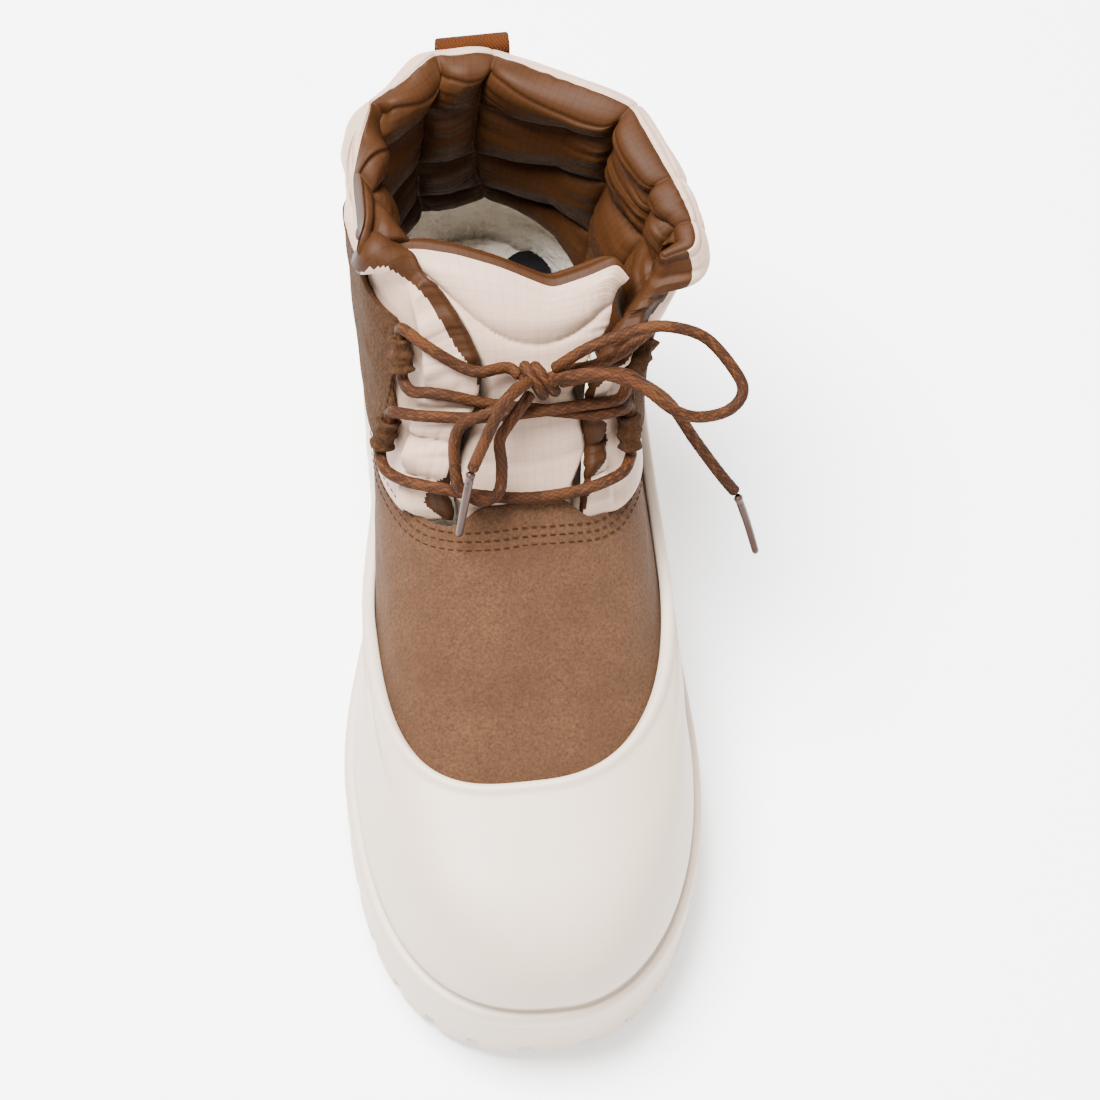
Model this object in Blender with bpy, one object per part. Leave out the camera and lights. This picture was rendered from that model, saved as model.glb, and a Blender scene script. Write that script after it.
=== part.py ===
"""Quilted mini boot for the left foot: a moulded outsole with a wrap-around guard, a suede vamp,
a puffer collar and tongue, suede lace wings, a round lace and a webbing pull tab.

Units are metres, +Z is up, the toe points to -Y and the wearer's outer side is +X."""

import math

import bmesh
import bpy
import numpy as np

# Driving sizes of the last
LAST_LENGTH = 0.2885
BALL_WIDTH = 0.102
SOLE_HEIGHT = 0.034
UPPER_HEIGHT = 0.134

# Walls and clearances
CLEARANCE = 0.0003
SUEDE_WALL = 0.0022
GUARD_WALL = 0.0036
INSOLE_THICKNESS = 0.014
TONGUE_THICKNESS = 0.009
WING_WALL = 0.0018
WEBBING_WALL = 0.0016

# Sole
RIDGE_STEP = 0.0042
RIDGE_HEIGHT = 0.0055
SIDEWALL_TAPER = 0.001
TOE_SPRING = 0.0045
TOE_BREAK = -0.095
ARCH_RISE = 0.003
ARCH_FRONT = -0.005
ARCH_BACK = 0.060
HEEL_BEVEL = 0.0025
HEEL_BREAK = 0.125
LUG_COUNT = 36
LUG_SHARE = 0.72
LUG_WIDTH = 0.011
GROOVE_DEPTH = 0.0045
RECESS_DEPTH = 0.0035
BAR_DEPTH = 0.010
BAR_MARGIN = 0.008
EDGE_ROUND = 0.0018
LIP_ROUND = 0.0008
BAR_PITCH = 0.019
FOREFOOT_BARS = 5
FOREFOOT_BAR_START = -0.088
HEEL_BARS = 3
HEEL_BAR_START = 0.076

# Puffer collar, tongue, wings and tab
PUFF_OUT = 0.0065
PUFF_IN = 0.0085
COLLAR_ROLL = 0.0028
WING_SEAT = 0.0030
LACE_RADIUS = 0.0020
TUNNEL_WALL = 0.0015
TUNNEL_CLEARANCE = 0.0007
TAB_WIDTH = 0.025
TAB_RISE = 0.002
TAB_REACH = 0.020
TAB_GAP = 0.0046
AGLET_RADIUS = 0.0021

# Rings of the last from the feather line (level 0) to the collar (level 10). Lengths are shares
# of LAST_LENGTH, heights of UPPER_HEIGHT above the feather line, and widths of BALL_WIDTH.
RING_COLUMNS = ("y_front", "y_back", "z_front", "z_back", "sag", "drop", "x_front", "x_back",
                "ball_out", "ball_in", "waist_out", "waist_in", "heel_out", "heel_in",
                "cap_front", "cap_back", "round_out", "round_in", "round_back")
RINGS = np.array((
    (-.512, .489, -.041, 0, -.06, 1.0, -.038, .007, .471, .529, .425, .331,
     .353, .319, .31, .2, 2.058, 2.721, 2.1),
    (-.517, .499, .045, .075, -.06, 1.0, -.038, .007, .481, .539, .444, .35,
     .373, .339, .31, .2, 2.058, 2.721, 2.1),
    (-.497, .501, .142, .134, -.045, 1.0, -.028, .007, .456, .519, .435, .365,
     .377, .344, .32, .2, 2.058, 2.721, 2.1),
    (-.439, .499, .213, .187, -.022, 1.0, -.037, .003, .469, .487, .447, .359,
     .382, .361, .358, .2, 2.204, 3.199, 2.1),
    (-.3, .496, .269, .239, -.045, 1.0, -.047, .007, .472, .444, .458, .353,
     .382, .373, .387, .2, 2.45, 3.778, 2.1),
    (-.166, .49, .358, .299, -.015, 3.0, -.026, -.004, .44, .426, .435, .369,
     .382, .373, .3, .22, 2.4, 2.6, 2.1),
    (-.042, .484, .485, .373, 0, 3.0, -.007, -.013, .421, .415, .416, .382,
     .382, .373, .3, .25, 2.4, 2.4, 2.1),
    (.042, .476, .627, .522, 0, 1.5, .01, -.01, .419, .402, .415, .398,
     .392, .388, .33, .3, 2.4, 2.4, 2.1),
    (.125, .471, .806, .687, 0, 1.0, .02, 0, .488, .422, .449, .427,
     .412, .407, .36, .4, 2.6, 2.6, 2.1),
    (.184, .473, .925, .866, 0, 1.0, .02, .01, .591, .431, .465, .458,
     .451, .429, .36, .5, 2.8, 2.8, 2.1),
    (.198, .47, .978, 1, 0, 1.0, .02, .01, .623, .441, .466, .466,
     .461, .432, .36, .55, 2.8, 2.8, 2.1),
))
TOP_LEVEL = len(RINGS) - 1
GUARD_LEVEL = 4.0
SEAM_LEVEL = 6.05
BALL_PLACE, WAIST_PLACE, HEEL_PLACE = .30, .66, .90

# Half widths of the throat and of the tongue at each level, as shares of BALL_WIDTH
THROAT_COLUMNS = ("level", "throat_out", "throat_in", "tongue_out", "tongue_in")
THROAT = np.array((
    (6.0, .175, .250, .235, .235), (6.3, .185, .250, .250, .250), (6.7, .225, .235, .270, .270),
    (7.2, .243, .190, .285, .285), (8.0, .241, .135, .315, .305), (8.5, .290, .190, .345, .320),
    (9.2, .410, .310, .385, .345), (10.0, .530, .410, .430, .360),
))

# Collar quilting: shares of the way from the outer throat edge round the back to the inner one
COLLAR_SEAMS = (0, .06, .15, .265, .49, .57, .70, .83, 1)
SEAM_PINCH = .55

# Upright section of the collar: share of its height, outer bulge and inner bulge
COLLAR_SECTION = np.array((
    (.00, .40, .35), (.05, .80, .70), (.15, 1.0, 1.0), (.25, .90, .90), (.30, .55, .45),
    (.36, .92, .90), (.44, 1.0, 1.0), (.52, .90, .85), (.57, .55, .45), (.63, .90, .85),
    (.78, 1.0, 1.0), (.92, .95, .95), (1.0, .70, .70), (1.0, .30, .25),
))

# Lace tunnels: turn and level of each one's upper and lower mouth
TUNNEL_COLUMNS = ("side", "top_turn", "top_level", "end_turn", "end_level")
TUNNELS = (
    (-1, .094, 8.30, .097, 7.86),
    (-1, .122, 7.18, .134, 6.76),
    (1, .103, 7.98, .089, 7.62),
    (1, .092, 7.18, .096, 6.76),
)

GUARD_LEVELS = (0, .75, 1.4, 2.0, 2.6, 3.2, GUARD_LEVEL)
SHELL_TURNS = np.arange(54) / 54


def smooth(value):
    value = np.clip(value, 0, 1)
    return value * value * (3 - 2 * value)


def ring_row(level):
    """The table's row at any level, by a Catmull-Rom curve through the rows."""
    level = np.clip(np.asarray(level, float), 0, TOP_LEVEL)
    index = np.clip(np.floor(level).astype(int), 0, TOP_LEVEL - 1)
    part = (level - index)[..., None]
    before, start, end, after = (RINGS[np.clip(index + step, 0, TOP_LEVEL)] for step in (-1, 0, 1, 2))
    return .5 * (2 * start + (end - before) * part
                 + (2 * before - 5 * start + 4 * end - after) * part ** 2
                 + (3 * start - before - 3 * end + after) * part ** 3)


def last_surface(turn, level):
    """Points of the last. A turn of 0 is the front, .25 the outer side and .5 the back."""
    turn, level = np.broadcast_arrays(np.asarray(turn, float), np.asarray(level, float))
    row = dict(zip(RING_COLUMNS, np.moveaxis(ring_row(level), -1, 0)))
    angle = 2 * math.pi * turn
    along = (1 - np.cos(angle)) / 2
    outer = np.sin(angle) >= 0
    ball, waist, heel = (np.where(outer, row[name + "_out"], row[name + "_in"])
                         for name in ("ball", "waist", "heel"))
    half = (ball + (waist - ball) * smooth((along - BALL_PLACE) / (WAIST_PLACE - BALL_PLACE))
            + (heel - waist) * smooth((along - WAIST_PLACE) / (HEEL_PLACE - WAIST_PLACE)))
    power = np.where(outer, row["round_out"], row["round_in"])
    front = np.clip(1 - along / row["cap_front"], 0, 1)
    back = np.clip(1 - (1 - along) / row["cap_back"], 0, 1)
    half = half * (1 - front ** power) ** (1 / power)
    half = half * (1 - back ** row["round_back"]) ** (1 / row["round_back"])
    x = row["x_front"] + (row["x_back"] - row["x_front"]) * smooth(along) + np.where(outer, half, -half)
    y = row["y_front"] + (row["y_back"] - row["y_front"]) * along
    z = row["z_back"] + (row["z_front"] - row["z_back"]) * (1 - along) ** row["drop"]
    z = z + row["sag"] * np.sin(math.pi * along)
    return np.stack([x * BALL_WIDTH, y * LAST_LENGTH, SOLE_HEIGHT + z * UPPER_HEIGHT], -1)


def unit(vectors):
    return vectors / np.maximum(np.linalg.norm(vectors, axis=-1, keepdims=True), 1e-9)


def layer(turn, level, out):
    """Points that stand off the last by a distance along its outward normal."""
    turn, level, out = np.broadcast_arrays(*(np.asarray(item, float) for item in (turn, level, out)))
    step = 1e-3
    across = last_surface(turn + step, level) - last_surface(turn - step, level)
    up = last_surface(turn, np.minimum(level + step, TOP_LEVEL)) - last_surface(turn, level - step)
    return last_surface(turn, level) + unit(np.cross(across, up)) * out[..., None]


def turn_at(x, level):
    """Signed turn near the front where the last reaches a given x at a level."""
    tries = np.linspace(-.25, .25, 201)
    return np.array([np.interp(px, last_surface(tries, lv)[:, 0], tries)
                     for px, lv in zip(np.ravel(x), np.ravel(level))]).reshape(np.shape(x))


def on_instep(points):
    """Points given as turn, level and distance off the last."""
    table = np.array(points, float)
    return layer(table[:, 0], table[:, 1], table[:, 2])


def throat(name, level):
    return np.interp(level, THROAT[:, 0], THROAT[:, THROAT_COLUMNS.index(name)]) * BALL_WIDTH


def make_material(name, colour, roughness, metallic=0):
    material = bpy.data.materials.new(name)
    material.use_nodes = True
    shader = material.node_tree.nodes["Principled BSDF"]
    shader.inputs["Base Color"].default_value = (*colour, 1)
    shader.inputs["Roughness"].default_value = roughness
    shader.inputs["Metallic"].default_value = metallic
    material.diffuse_color = (*colour, 1)
    return material


def add_object(name, points, faces, material):
    mesh = bpy.data.meshes.new(name)
    mesh.from_pydata([tuple(point) for point in np.reshape(points, (-1, 3))], [], faces)
    work = bmesh.new()
    work.from_mesh(mesh)
    bmesh.ops.remove_doubles(work, verts=work.verts, dist=1e-6)
    bmesh.ops.triangulate(work, faces=[face for face in work.faces if len(face.verts) > 3])
    bmesh.ops.recalc_face_normals(work, faces=work.faces)
    if work.calc_volume(signed=True) < 0:
        bmesh.ops.reverse_faces(work, faces=work.faces)
    work.to_mesh(mesh)
    work.free()
    mesh.shade_smooth()
    mesh.set_sharp_from_angle(angle=math.radians(40))
    body = bpy.data.objects.new(name, mesh)
    bpy.context.collection.objects.link(body)
    body.parent = bpy.data.objects["boot"]
    body.data.materials.append(material)
    return body


def split_quad(low_left, low_right, high_left, high_right):
    """Two triangles whose shared edge rises to the right, the same in every layer."""
    return [(low_left, low_right, high_right), (low_left, high_right, high_left)]


def shell_faces(rows, columns, wrap):
    """Faces of a closed shell made of an outer and an inner grid of points."""
    faces = []
    inner = rows * columns
    last_column = columns if wrap else columns - 1
    for row in range(rows - 1):
        for column in range(last_column):
            near, far = row * columns + column, row * columns + (column + 1) % columns
            quad = (near, far, near + columns, far + columns)
            faces += split_quad(*quad)
            faces += [tuple(inner + corner for corner in face[::-1]) for face in split_quad(*quad)]
    for column in range(last_column):
        near, far = column, (column + 1) % columns
        top = (rows - 1) * columns
        faces.append((near, inner + near, inner + far, far))
        faces.append((top + near, top + far, inner + top + far, inner + top + near))
    if not wrap:
        for row in range(rows - 1):
            low, high = row * columns, (row + 1) * columns
            faces.append((low, high, inner + high, inner + low))
            low, high = low + columns - 1, high + columns - 1
            faces.append((low, inner + low, inner + high, high))
    return faces


def add_shell(name, outer, inner, material, wrap=False):
    rows, columns = outer.shape[:2]
    return add_object(name, np.concatenate([outer.reshape(-1, 3), inner.reshape(-1, 3)]),
                      shell_faces(rows, columns, wrap), material)


def tube_mesh(points, radius, sides=8):
    """Rings of a closed round tube along a smooth list of points."""
    points = np.array(points)
    ahead = unit(np.gradient(points, axis=0))
    side = unit(np.cross(ahead, (0, 0, 1)))
    above = np.cross(side, ahead)
    angles = 2 * math.pi * np.arange(sides) / sides
    rings = (points[:, None] + radius * (np.cos(angles)[:, None] * side[:, None]
                                         + np.sin(angles)[:, None] * above[:, None]))
    faces = [tuple(range(sides)), tuple(range((len(points) - 1) * sides, len(points) * sides))[::-1]]
    for ring in range(len(points) - 1):
        for corner in range(sides):
            near, far = ring * sides + corner, ring * sides + (corner + 1) % sides
            faces.append((near, near + sides, far + sides, far))
    return rings.reshape(-1, 3), faces


def smooth_path(points, spacing):
    """Evenly spaced points on a Catmull-Rom curve through a short list of points."""
    points = np.array(points, float)
    padded = np.vstack([2 * points[0] - points[1], points, 2 * points[-1] - points[-2]])
    fine = []
    for index in range(len(points) - 1):
        before, start, end, after = padded[index:index + 4]
        part = np.linspace(0, 1, 24, endpoint=False)[:, None]
        fine.append(.5 * (2 * start + (end - before) * part
                          + (2 * before - 5 * start + 4 * end - after) * part ** 2
                          + (3 * start - before - 3 * end + after) * part ** 3))
    fine = np.vstack(fine + [points[-1:]])
    length = np.concatenate([[0], np.cumsum(np.linalg.norm(np.diff(fine, axis=0), axis=1))])
    places = np.linspace(0, length[-1], max(3, round(length[-1] / spacing) + 1))
    return np.stack([np.interp(places, length, fine[:, axis]) for axis in range(3)], -1)


def add_cutter(name, points, faces):
    cutter = add_object(name, points, faces, bpy.data.materials["suede"])
    cutter.hide_render = True
    cutter.display_type = "WIRE"
    return cutter


def add_boolean(body, cutter, operation):
    modifier = body.modifiers.new(operation.title(), "BOOLEAN")
    modifier.operation = operation
    modifier.object = cutter


# Sole: ground profile, sections and lugs
def ground(y):
    """Height of the tread over the floor: toe spring, arch and heel bevel."""
    toe = RINGS[0][0] * LAST_LENGTH
    heel = RINGS[0][1] * LAST_LENGTH
    rise = TOE_SPRING * np.clip((TOE_BREAK - y) / (TOE_BREAK - toe), 0, None) ** 2
    rise = rise + HEEL_BEVEL * np.clip((y - HEEL_BREAK) / (heel - HEEL_BREAK), 0, None) ** 2
    arch = np.clip((y - ARCH_FRONT) / (ARCH_BACK - ARCH_FRONT), 0, 1)
    return rise + ARCH_RISE * np.sin(math.pi * arch) ** 2


def feather_height(y):
    row = dict(zip(RING_COLUMNS, RINGS[0]))
    along = (y / LAST_LENGTH - row["y_front"]) / (row["y_back"] - row["y_front"])
    rise = row["z_back"] + (row["z_front"] - row["z_back"]) * (1 - along)
    return SOLE_HEIGHT + (rise + row["sag"] * np.sin(math.pi * np.clip(along, 0, 1))) * UPPER_HEIGHT


def plan_ring(turns, out):
    """The feather line moved outwards level with the floor."""
    ring = layer(turns, 0, 0)
    ahead = last_surface(turns + 1e-3, 0) - last_surface(turns - 1e-3, 0)
    ring[:, :2] += unit(np.stack([ahead[:, 1], -ahead[:, 0]], -1)) * out
    return ring


def with_height(ring, height):
    ring = ring.copy()
    ring[:, 2] = height
    return ring


def shrink(ring, turns, share):
    """The ring drawn in towards the sole's spine, where both sides meet in the same points."""
    spine = ring.copy()
    spine[:, 0] = np.mean(RINGS[0][6:8]) * BALL_WIDTH
    spine[:, 1] = last_surface(turns, 0)[:, 1] * .85
    return spine + (ring - spine) * share


def ring_strip(low, low_turns, low_start, high, high_turns, high_start):
    """Triangles between two closed rings that may differ in their number of points."""
    faces = []
    i = j = 0
    while i < len(low) or j < len(high):
        next_low = low_turns[i + 1] if i + 1 < len(low) else low_turns[0] + 1 if i < len(low) else 9
        next_high = high_turns[j + 1] if j + 1 < len(high) else high_turns[0] + 1 if j < len(high) else 9
        here, there = low_start + i % len(low), high_start + j % len(high)
        if next_low <= next_high:
            faces.append((here, low_start + (i + 1) % len(low), there))
            i += 1
        else:
            faces.append((here, high_start + (j + 1) % len(high), there))
            j += 1
    return faces


def add_outsole():
    """One moulded piece: tread, sidewall, ridge, guard, rolled lip and the floor inside."""
    pitch = (-LUG_SHARE / 2, LUG_SHARE / 2, .5)
    tread_turns = np.array([lug + share for lug in range(LUG_COUNT) for share in pitch]) / LUG_COUNT
    is_lug = np.array([share < .5 for lug in range(LUG_COUNT) for share in pitch])
    inner_out = SUEDE_WALL + CLEARANCE
    outer_out = inner_out + GUARD_WALL
    ridge_out = outer_out + RIDGE_STEP
    edge = plan_ring(tread_turns, ridge_out - SIDEWALL_TAPER)
    inset = 1 - LUG_WIDTH / (BALL_WIDTH / 2)

    def tread(share, lift):
        ring = shrink(edge, tread_turns, share)
        return with_height(ring, ground(ring[:, 1]) + lift)

    lug_lift = np.where(is_lug, 0, GROOVE_DEPTH)
    feather = edge[:, 2]
    ridge = plan_ring(tread_turns, ridge_out)
    rings = [
        (tread_turns, tread(0, RECESS_DEPTH)),
        (tread_turns, tread(.5, RECESS_DEPTH)),
        (tread_turns, tread(inset - .01, RECESS_DEPTH)),
        (tread_turns, tread(inset, np.where(is_lug, 0, RECESS_DEPTH))),
        (tread_turns, tread(1, lug_lift)),
        (tread_turns, with_height(edge, ground(edge[:, 1]) + GROOVE_DEPTH + EDGE_ROUND / 2)),
        (tread_turns, with_height(plan_ring(tread_turns, ridge_out - SIDEWALL_TAPER / 2), feather)),
        (tread_turns, with_height(ridge, feather + EDGE_ROUND)),
        (tread_turns, with_height(ridge, feather + RIDGE_HEIGHT + EDGE_ROUND / 2)),
        (SHELL_TURNS, layer(SHELL_TURNS, GUARD_LEVELS[1], outer_out)),
    ]
    rings += [(SHELL_TURNS, layer(SHELL_TURNS, level, outer_out)) for level in GUARD_LEVELS[2:-1]]
    rings += [(SHELL_TURNS, layer(SHELL_TURNS, GUARD_LEVEL - .12, outer_out + LIP_ROUND / 2)),
              (SHELL_TURNS, layer(SHELL_TURNS, GUARD_LEVEL + .02, outer_out - LIP_ROUND)),
              (SHELL_TURNS, layer(SHELL_TURNS, GUARD_LEVEL + .04, inner_out + LIP_ROUND))]
    rings += [(SHELL_TURNS, layer(SHELL_TURNS, level, inner_out)) for level in GUARD_LEVELS[:0:-1]]
    floor = plan_ring(SHELL_TURNS, inner_out)
    floor = with_height(floor, feather_height(floor[:, 1]) - CLEARANCE)
    rings.append((SHELL_TURNS, floor))
    middle = shrink(floor, SHELL_TURNS, 0)
    rings.append((SHELL_TURNS, with_height(middle, feather_height(middle[:, 1]) - CLEARANCE)))

    points, faces, start = [], [], 0
    for (turns, ring), (next_turns, next_ring) in zip(rings, rings[1:]):
        points.append(ring)
        faces += ring_strip(ring, turns, start, next_ring, next_turns, start + len(ring))
        start += len(ring)
    points.append(rings[-1][1])
    sole = add_object("outsole_guard", np.vstack(points), faces, bpy.data.materials["moulded_eva"])

    bars, bar_faces = [], []
    starts = [FOREFOOT_BAR_START + BAR_PITCH * bar for bar in range(FOREFOOT_BARS)]
    starts += [HEEL_BAR_START + BAR_PITCH * bar for bar in range(HEEL_BARS)]
    inner_edge = shrink(edge, tread_turns, inset - .01)
    half = len(inner_edge) // 2
    for y in starts:
        ends = [np.interp(y + BAR_DEPTH / 2, inner_edge[:half, 1], inner_edge[:half, 0]),
                np.interp(y + BAR_DEPTH / 2, inner_edge[:half:-1, 1], inner_edge[:half:-1, 0])]
        low, high = min(ends) + BAR_MARGIN, max(ends) - BAR_MARGIN
        corners = [(x, yy, z) for z in (0, RECESS_DEPTH + EDGE_ROUND)
                   for x, yy in ((low, y), (high, y), (high, y + BAR_DEPTH), (low, y + BAR_DEPTH))]
        base = len(bars)
        bars += corners
        bar_faces += [tuple(base + corner for corner in face) for face in
                      ((3, 2, 1, 0), (4, 5, 6, 7), (0, 1, 5, 4), (1, 2, 6, 5), (2, 3, 7, 6), (3, 0, 4, 7))]
    add_boolean(sole, add_cutter("tread_bars", bars, bar_faces), "UNION")
    return sole


def add_insole():
    """Fleece footbed on the sole's floor, with a rounded top edge."""
    side = layer(SHELL_TURNS, GUARD_LEVELS[1], -.0005)
    crown = layer(SHELL_TURNS, GUARD_LEVELS[2] - .15, -.0026)
    base = plan_ring(SHELL_TURNS, -.0005)
    base = with_height(base, feather_height(base[:, 1]))
    low, high = shrink(base, SHELL_TURNS, 0), shrink(base, SHELL_TURNS, 0)
    low = with_height(low, feather_height(low[:, 1]))
    high = with_height(high, feather_height(high[:, 1]) + INSOLE_THICKNESS)
    rings = [low, base, side, crown, high]
    faces = []
    for step in range(len(rings) - 1):
        count = len(base)
        faces += ring_strip(rings[step], SHELL_TURNS, step * count,
                            rings[step + 1], SHELL_TURNS, (step + 1) * count)
    return add_object("insole", np.vstack(rings), faces, bpy.data.materials["fleece"])


# Suede upper
def seam_level(turn):
    """Top edge of the suede: it rises to a crescent between the throat edges."""
    x = last_surface(turn, SEAM_LEVEL)[..., 0]
    front = np.cos(2 * math.pi * np.asarray(turn)) > .5
    reach = throat("throat_out", SEAM_LEVEL) * 1.15
    return SEAM_LEVEL + np.where(front, .35 * smooth(1.25 - np.abs(x) / reach), 0)


def add_upper():
    top = seam_level(SHELL_TURNS)
    rows = [np.full_like(top, level) for level in GUARD_LEVELS]
    rows += [GUARD_LEVEL + (top - GUARD_LEVEL) * share for share in (.3, .6, .85, 1)]
    levels = np.stack(rows)
    turns = np.broadcast_to(SHELL_TURNS, levels.shape)
    outer, inner = layer(turns, levels, SUEDE_WALL), layer(turns, levels, 0)
    outer[0, :, 2] = inner[0, :, 2] = feather_height(inner[0, :, 1])
    return add_shell("upper", outer, inner, bpy.data.materials["suede"], wrap=True)


# Puffer collar
def collar_turn(share, level):
    """Turn at a share of the way from the outer throat edge round the back to the inner one."""
    start = turn_at(throat("throat_out", level), level)
    end = 1 + turn_at(-throat("throat_in", level), level)
    return start + (end - start) * share


def collar_columns():
    """Column places with a few between each pair of upright seams, and how far each bulges."""
    columns = [(0, .50), (.012, .85)]
    for start, end in zip(COLLAR_SEAMS, COLLAR_SEAMS[1:]):
        for part in (.14, .38, .62, .86):
            fill = SEAM_PINCH + (1 - SEAM_PINCH) * math.sin(math.pi * part) ** .5
            columns.append((start + (end - start) * part, fill))
        columns.append((end, SEAM_PINCH))
    columns[-1] = (.988, .85)
    columns.append((1, .50))
    return np.array(columns)


def wing_front(side, level):
    """Turn of a suede wing's front edge, which runs along its two lace tunnels."""
    known = sorted(pair for row in TUNNELS if row[0] == side
                   for pair in ((row[2], row[1]), (row[4], row[3])))
    return np.interp(level, [pair[0] for pair in known], [pair[1] for pair in known])


def wing_edges(turn):
    """Levels of a wing's lower and upper edge at a distance round from the front."""
    return (np.interp(turn, (.08, .14, .30, .50), (6.68, 6.60, 6.35, 6.30)),
            np.interp(turn, (.08, .20, .35, .50), (8.42, 8.75, 8.10, 7.70)))


def wing_cover(turn, level):
    """1 where a suede wing presses the puffer flat, 0 away from it."""
    signed = np.where(turn > .5, turn - 1, turn)
    front = np.where(signed > 0, wing_front(1, level), wing_front(-1, level))
    across = smooth((np.abs(signed) - front + .026) / .012)
    return across * smooth((wing_edges(np.abs(signed))[1] + 1.0 - level) / .35)


def add_collar():
    columns = collar_columns()
    levels, turns, outer, inner = [], [], [], []
    for share, bulge_out, bulge_in in COLLAR_SECTION:
        bottom = SEAM_LEVEL + .05
        tip = np.clip(1 - np.minimum(columns[:, 0], 1 - columns[:, 0]) / .06, 0, 1)
        start = bottom + .30 * smooth(tip)
        level = start + (TOP_LEVEL - start) * share
        turn = np.array([collar_turn(place, lv) for place, lv in zip(columns[:, 0], level)])
        cover = wing_cover(turn, level)
        out = PUFF_OUT * bulge_out * columns[:, 1]
        out = out + (WING_SEAT - out) * cover
        levels.append(level)
        turns.append(turn)
        outer.append(out)
        inner.append(-PUFF_IN * bulge_in * columns[:, 1])
    levels, turns = np.array(levels), np.array(turns)
    outside, inside = layer(turns, levels, np.array(outer)), layer(turns, levels, np.array(inner))
    outside[-1, :, 2] += COLLAR_ROLL
    inside[-1, :, 2] += COLLAR_ROLL
    return add_shell("collar", outside, inside, bpy.data.materials["puffer_nylon"])


# Tongue
TONGUE_ROWS = np.array((
    (6.10, .25), (6.30, .45), (6.50, .70), (6.80, 1.0), (7.10, .95), (7.40, 1.0), (7.65, .55),
    (7.90, .95), (8.20, .95), (8.42, .50), (8.70, .95), (9.20, 1.0), (9.60, 1.0), (9.85, .85), (10.0, .40),
))
TONGUE_CROWN = .0016
TONGUE_SIDE = -.0092


def add_tongue():
    """Padded tongue behind the throat, with level seams, fuller in the middle than at its sides."""
    across = np.array((-1, -.94, -.8, -.6, -.35, 0, .35, .6, .8, .94, 1))
    outer, inner, levels, turns = [], [], [], []
    for level, fill in TONGUE_ROWS:
        x = across * np.where(across > 0, throat("tongue_out", level), throat("tongue_in", level))
        edge = np.where(x > 0, throat("throat_out", level), throat("throat_in", level)) - .004
        under = smooth((np.abs(x) - edge + .007) / .009)
        crown = TONGUE_CROWN * fill if level > SEAM_LEVEL + .45 else -CLEARANCE * 2
        out = crown + (TONGUE_SIDE - crown) * under
        thick = TONGUE_THICKNESS * fill * (1 - .45 * under) * np.sqrt(np.clip(1.02 - across ** 8, 0.12, 1))
        outer.append(out)
        inner.append(out - thick)
        levels.append(np.full_like(x, level))
        turns.append(turn_at(x, np.full_like(x, level)))
    levels, turns = np.array(levels), np.array(turns)
    return add_shell("tongue", layer(turns, levels, np.array(outer)),
                     layer(turns, levels, np.array(inner)), bpy.data.materials["puffer_nylon"])


# Suede wings with the lace tunnels. They run back round the heel and meet at its seam.
WING_ROWS = ((0, .012), (.12, 0), (.30, 0), (.44, .014), (.56, .014), (.70, 0), (.88, 0), (1, .010))
WING_COLUMNS = (0, .02, .06, .12, .19, .26, .33, .41, .49, .57, .65, .73, .81, .88, .94, 1)
WING_END = .4985
WING_LIFT = WING_SEAT + CLEARANCE * 3


def add_wing(name, side):
    across = np.array(WING_COLUMNS)
    levels, turns = [], []
    for share, scallop in WING_ROWS:
        low, high = wing_edges(.10)
        front = float(wing_front(side, low + (high - low) * share)) + scallop
        turn = front + (WING_END - front) * across
        low, high = wing_edges(turn)
        turns.append(side * turn)
        levels.append(low + (high - low) * share)
    levels, turns = np.array(levels), np.array(turns)
    wing = add_shell(name, layer(turns, levels, WING_LIFT + WING_WALL), layer(turns, levels, WING_LIFT),
                     bpy.data.materials["suede"])
    bore = LACE_RADIUS + TUNNEL_CLEARANCE
    tubes, bores = ([], []), ([], [])
    for tunnel in [dict(zip(TUNNEL_COLUMNS, row)) for row in TUNNELS if row[0] == side]:
        ends = tunnel_ends(tunnel)
        ahead = unit(ends[1] - ends[0])
        for store, radius, reach in ((tubes, bore + TUNNEL_WALL, 0), (bores, bore, .004)):
            line = [ends[0] - ahead * reach, (ends[0] + ends[1]) / 2, ends[1] + ahead * reach]
            points, faces = tube_mesh(line, radius, 12)
            base = sum(len(item) for item in store[0])
            store[0].append(points)
            store[1].extend(tuple(base + corner for corner in face) for face in faces)
    add_boolean(wing, add_cutter(name + "_tubes", np.vstack(tubes[0]), tubes[1]), "UNION")
    add_boolean(wing, add_cutter(name + "_bores", np.vstack(bores[0]), bores[1]), "DIFFERENCE")
    return wing


def tunnel_ends(tunnel):
    """Both mouths of a lace tunnel, on its axis."""
    height = WING_LIFT + LACE_RADIUS + TUNNEL_CLEARANCE + TUNNEL_WALL
    return on_instep([(tunnel["side"] * tunnel[mouth_name + "_turn"], tunnel[mouth_name + "_level"], height)
                      for mouth_name in ("top", "end")])


# Lace bars between the tunnels. Routes are turn, level and distance off the last.
BOTTOM_BAR = ((-.121, 6.58, .0100), (-.100, 6.60, .0098), (-.082, 6.65, .0095), (-.062, 6.67, .0084),
              (-.036, 6.64, .0058), (0, 6.58, .0046), (.032, 6.56, .0058), (.055, 6.57, .0086), (.080, 6.58, .0098))
CROSS_FALLING = ((-.086, 7.70, .0102), (-.066, 7.73, .0098), (-.045, 7.70, .0082), (-.022, 7.62, .0060),
                 (.006, 7.52, .0052), (.034, 7.43, .0068), (.056, 7.37, .0094), (.076, 7.34, .0102))
CROSS_RISING = ((-.106, 7.38, .0102), (-.082, 7.45, .0100), (-.058, 7.49, .0088), (-.030, 7.50, .0060),
                (.006, 7.52, .0052), (.032, 7.52, .0068), (.054, 7.50, .0096), (.074, 7.47, .0102))
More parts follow.
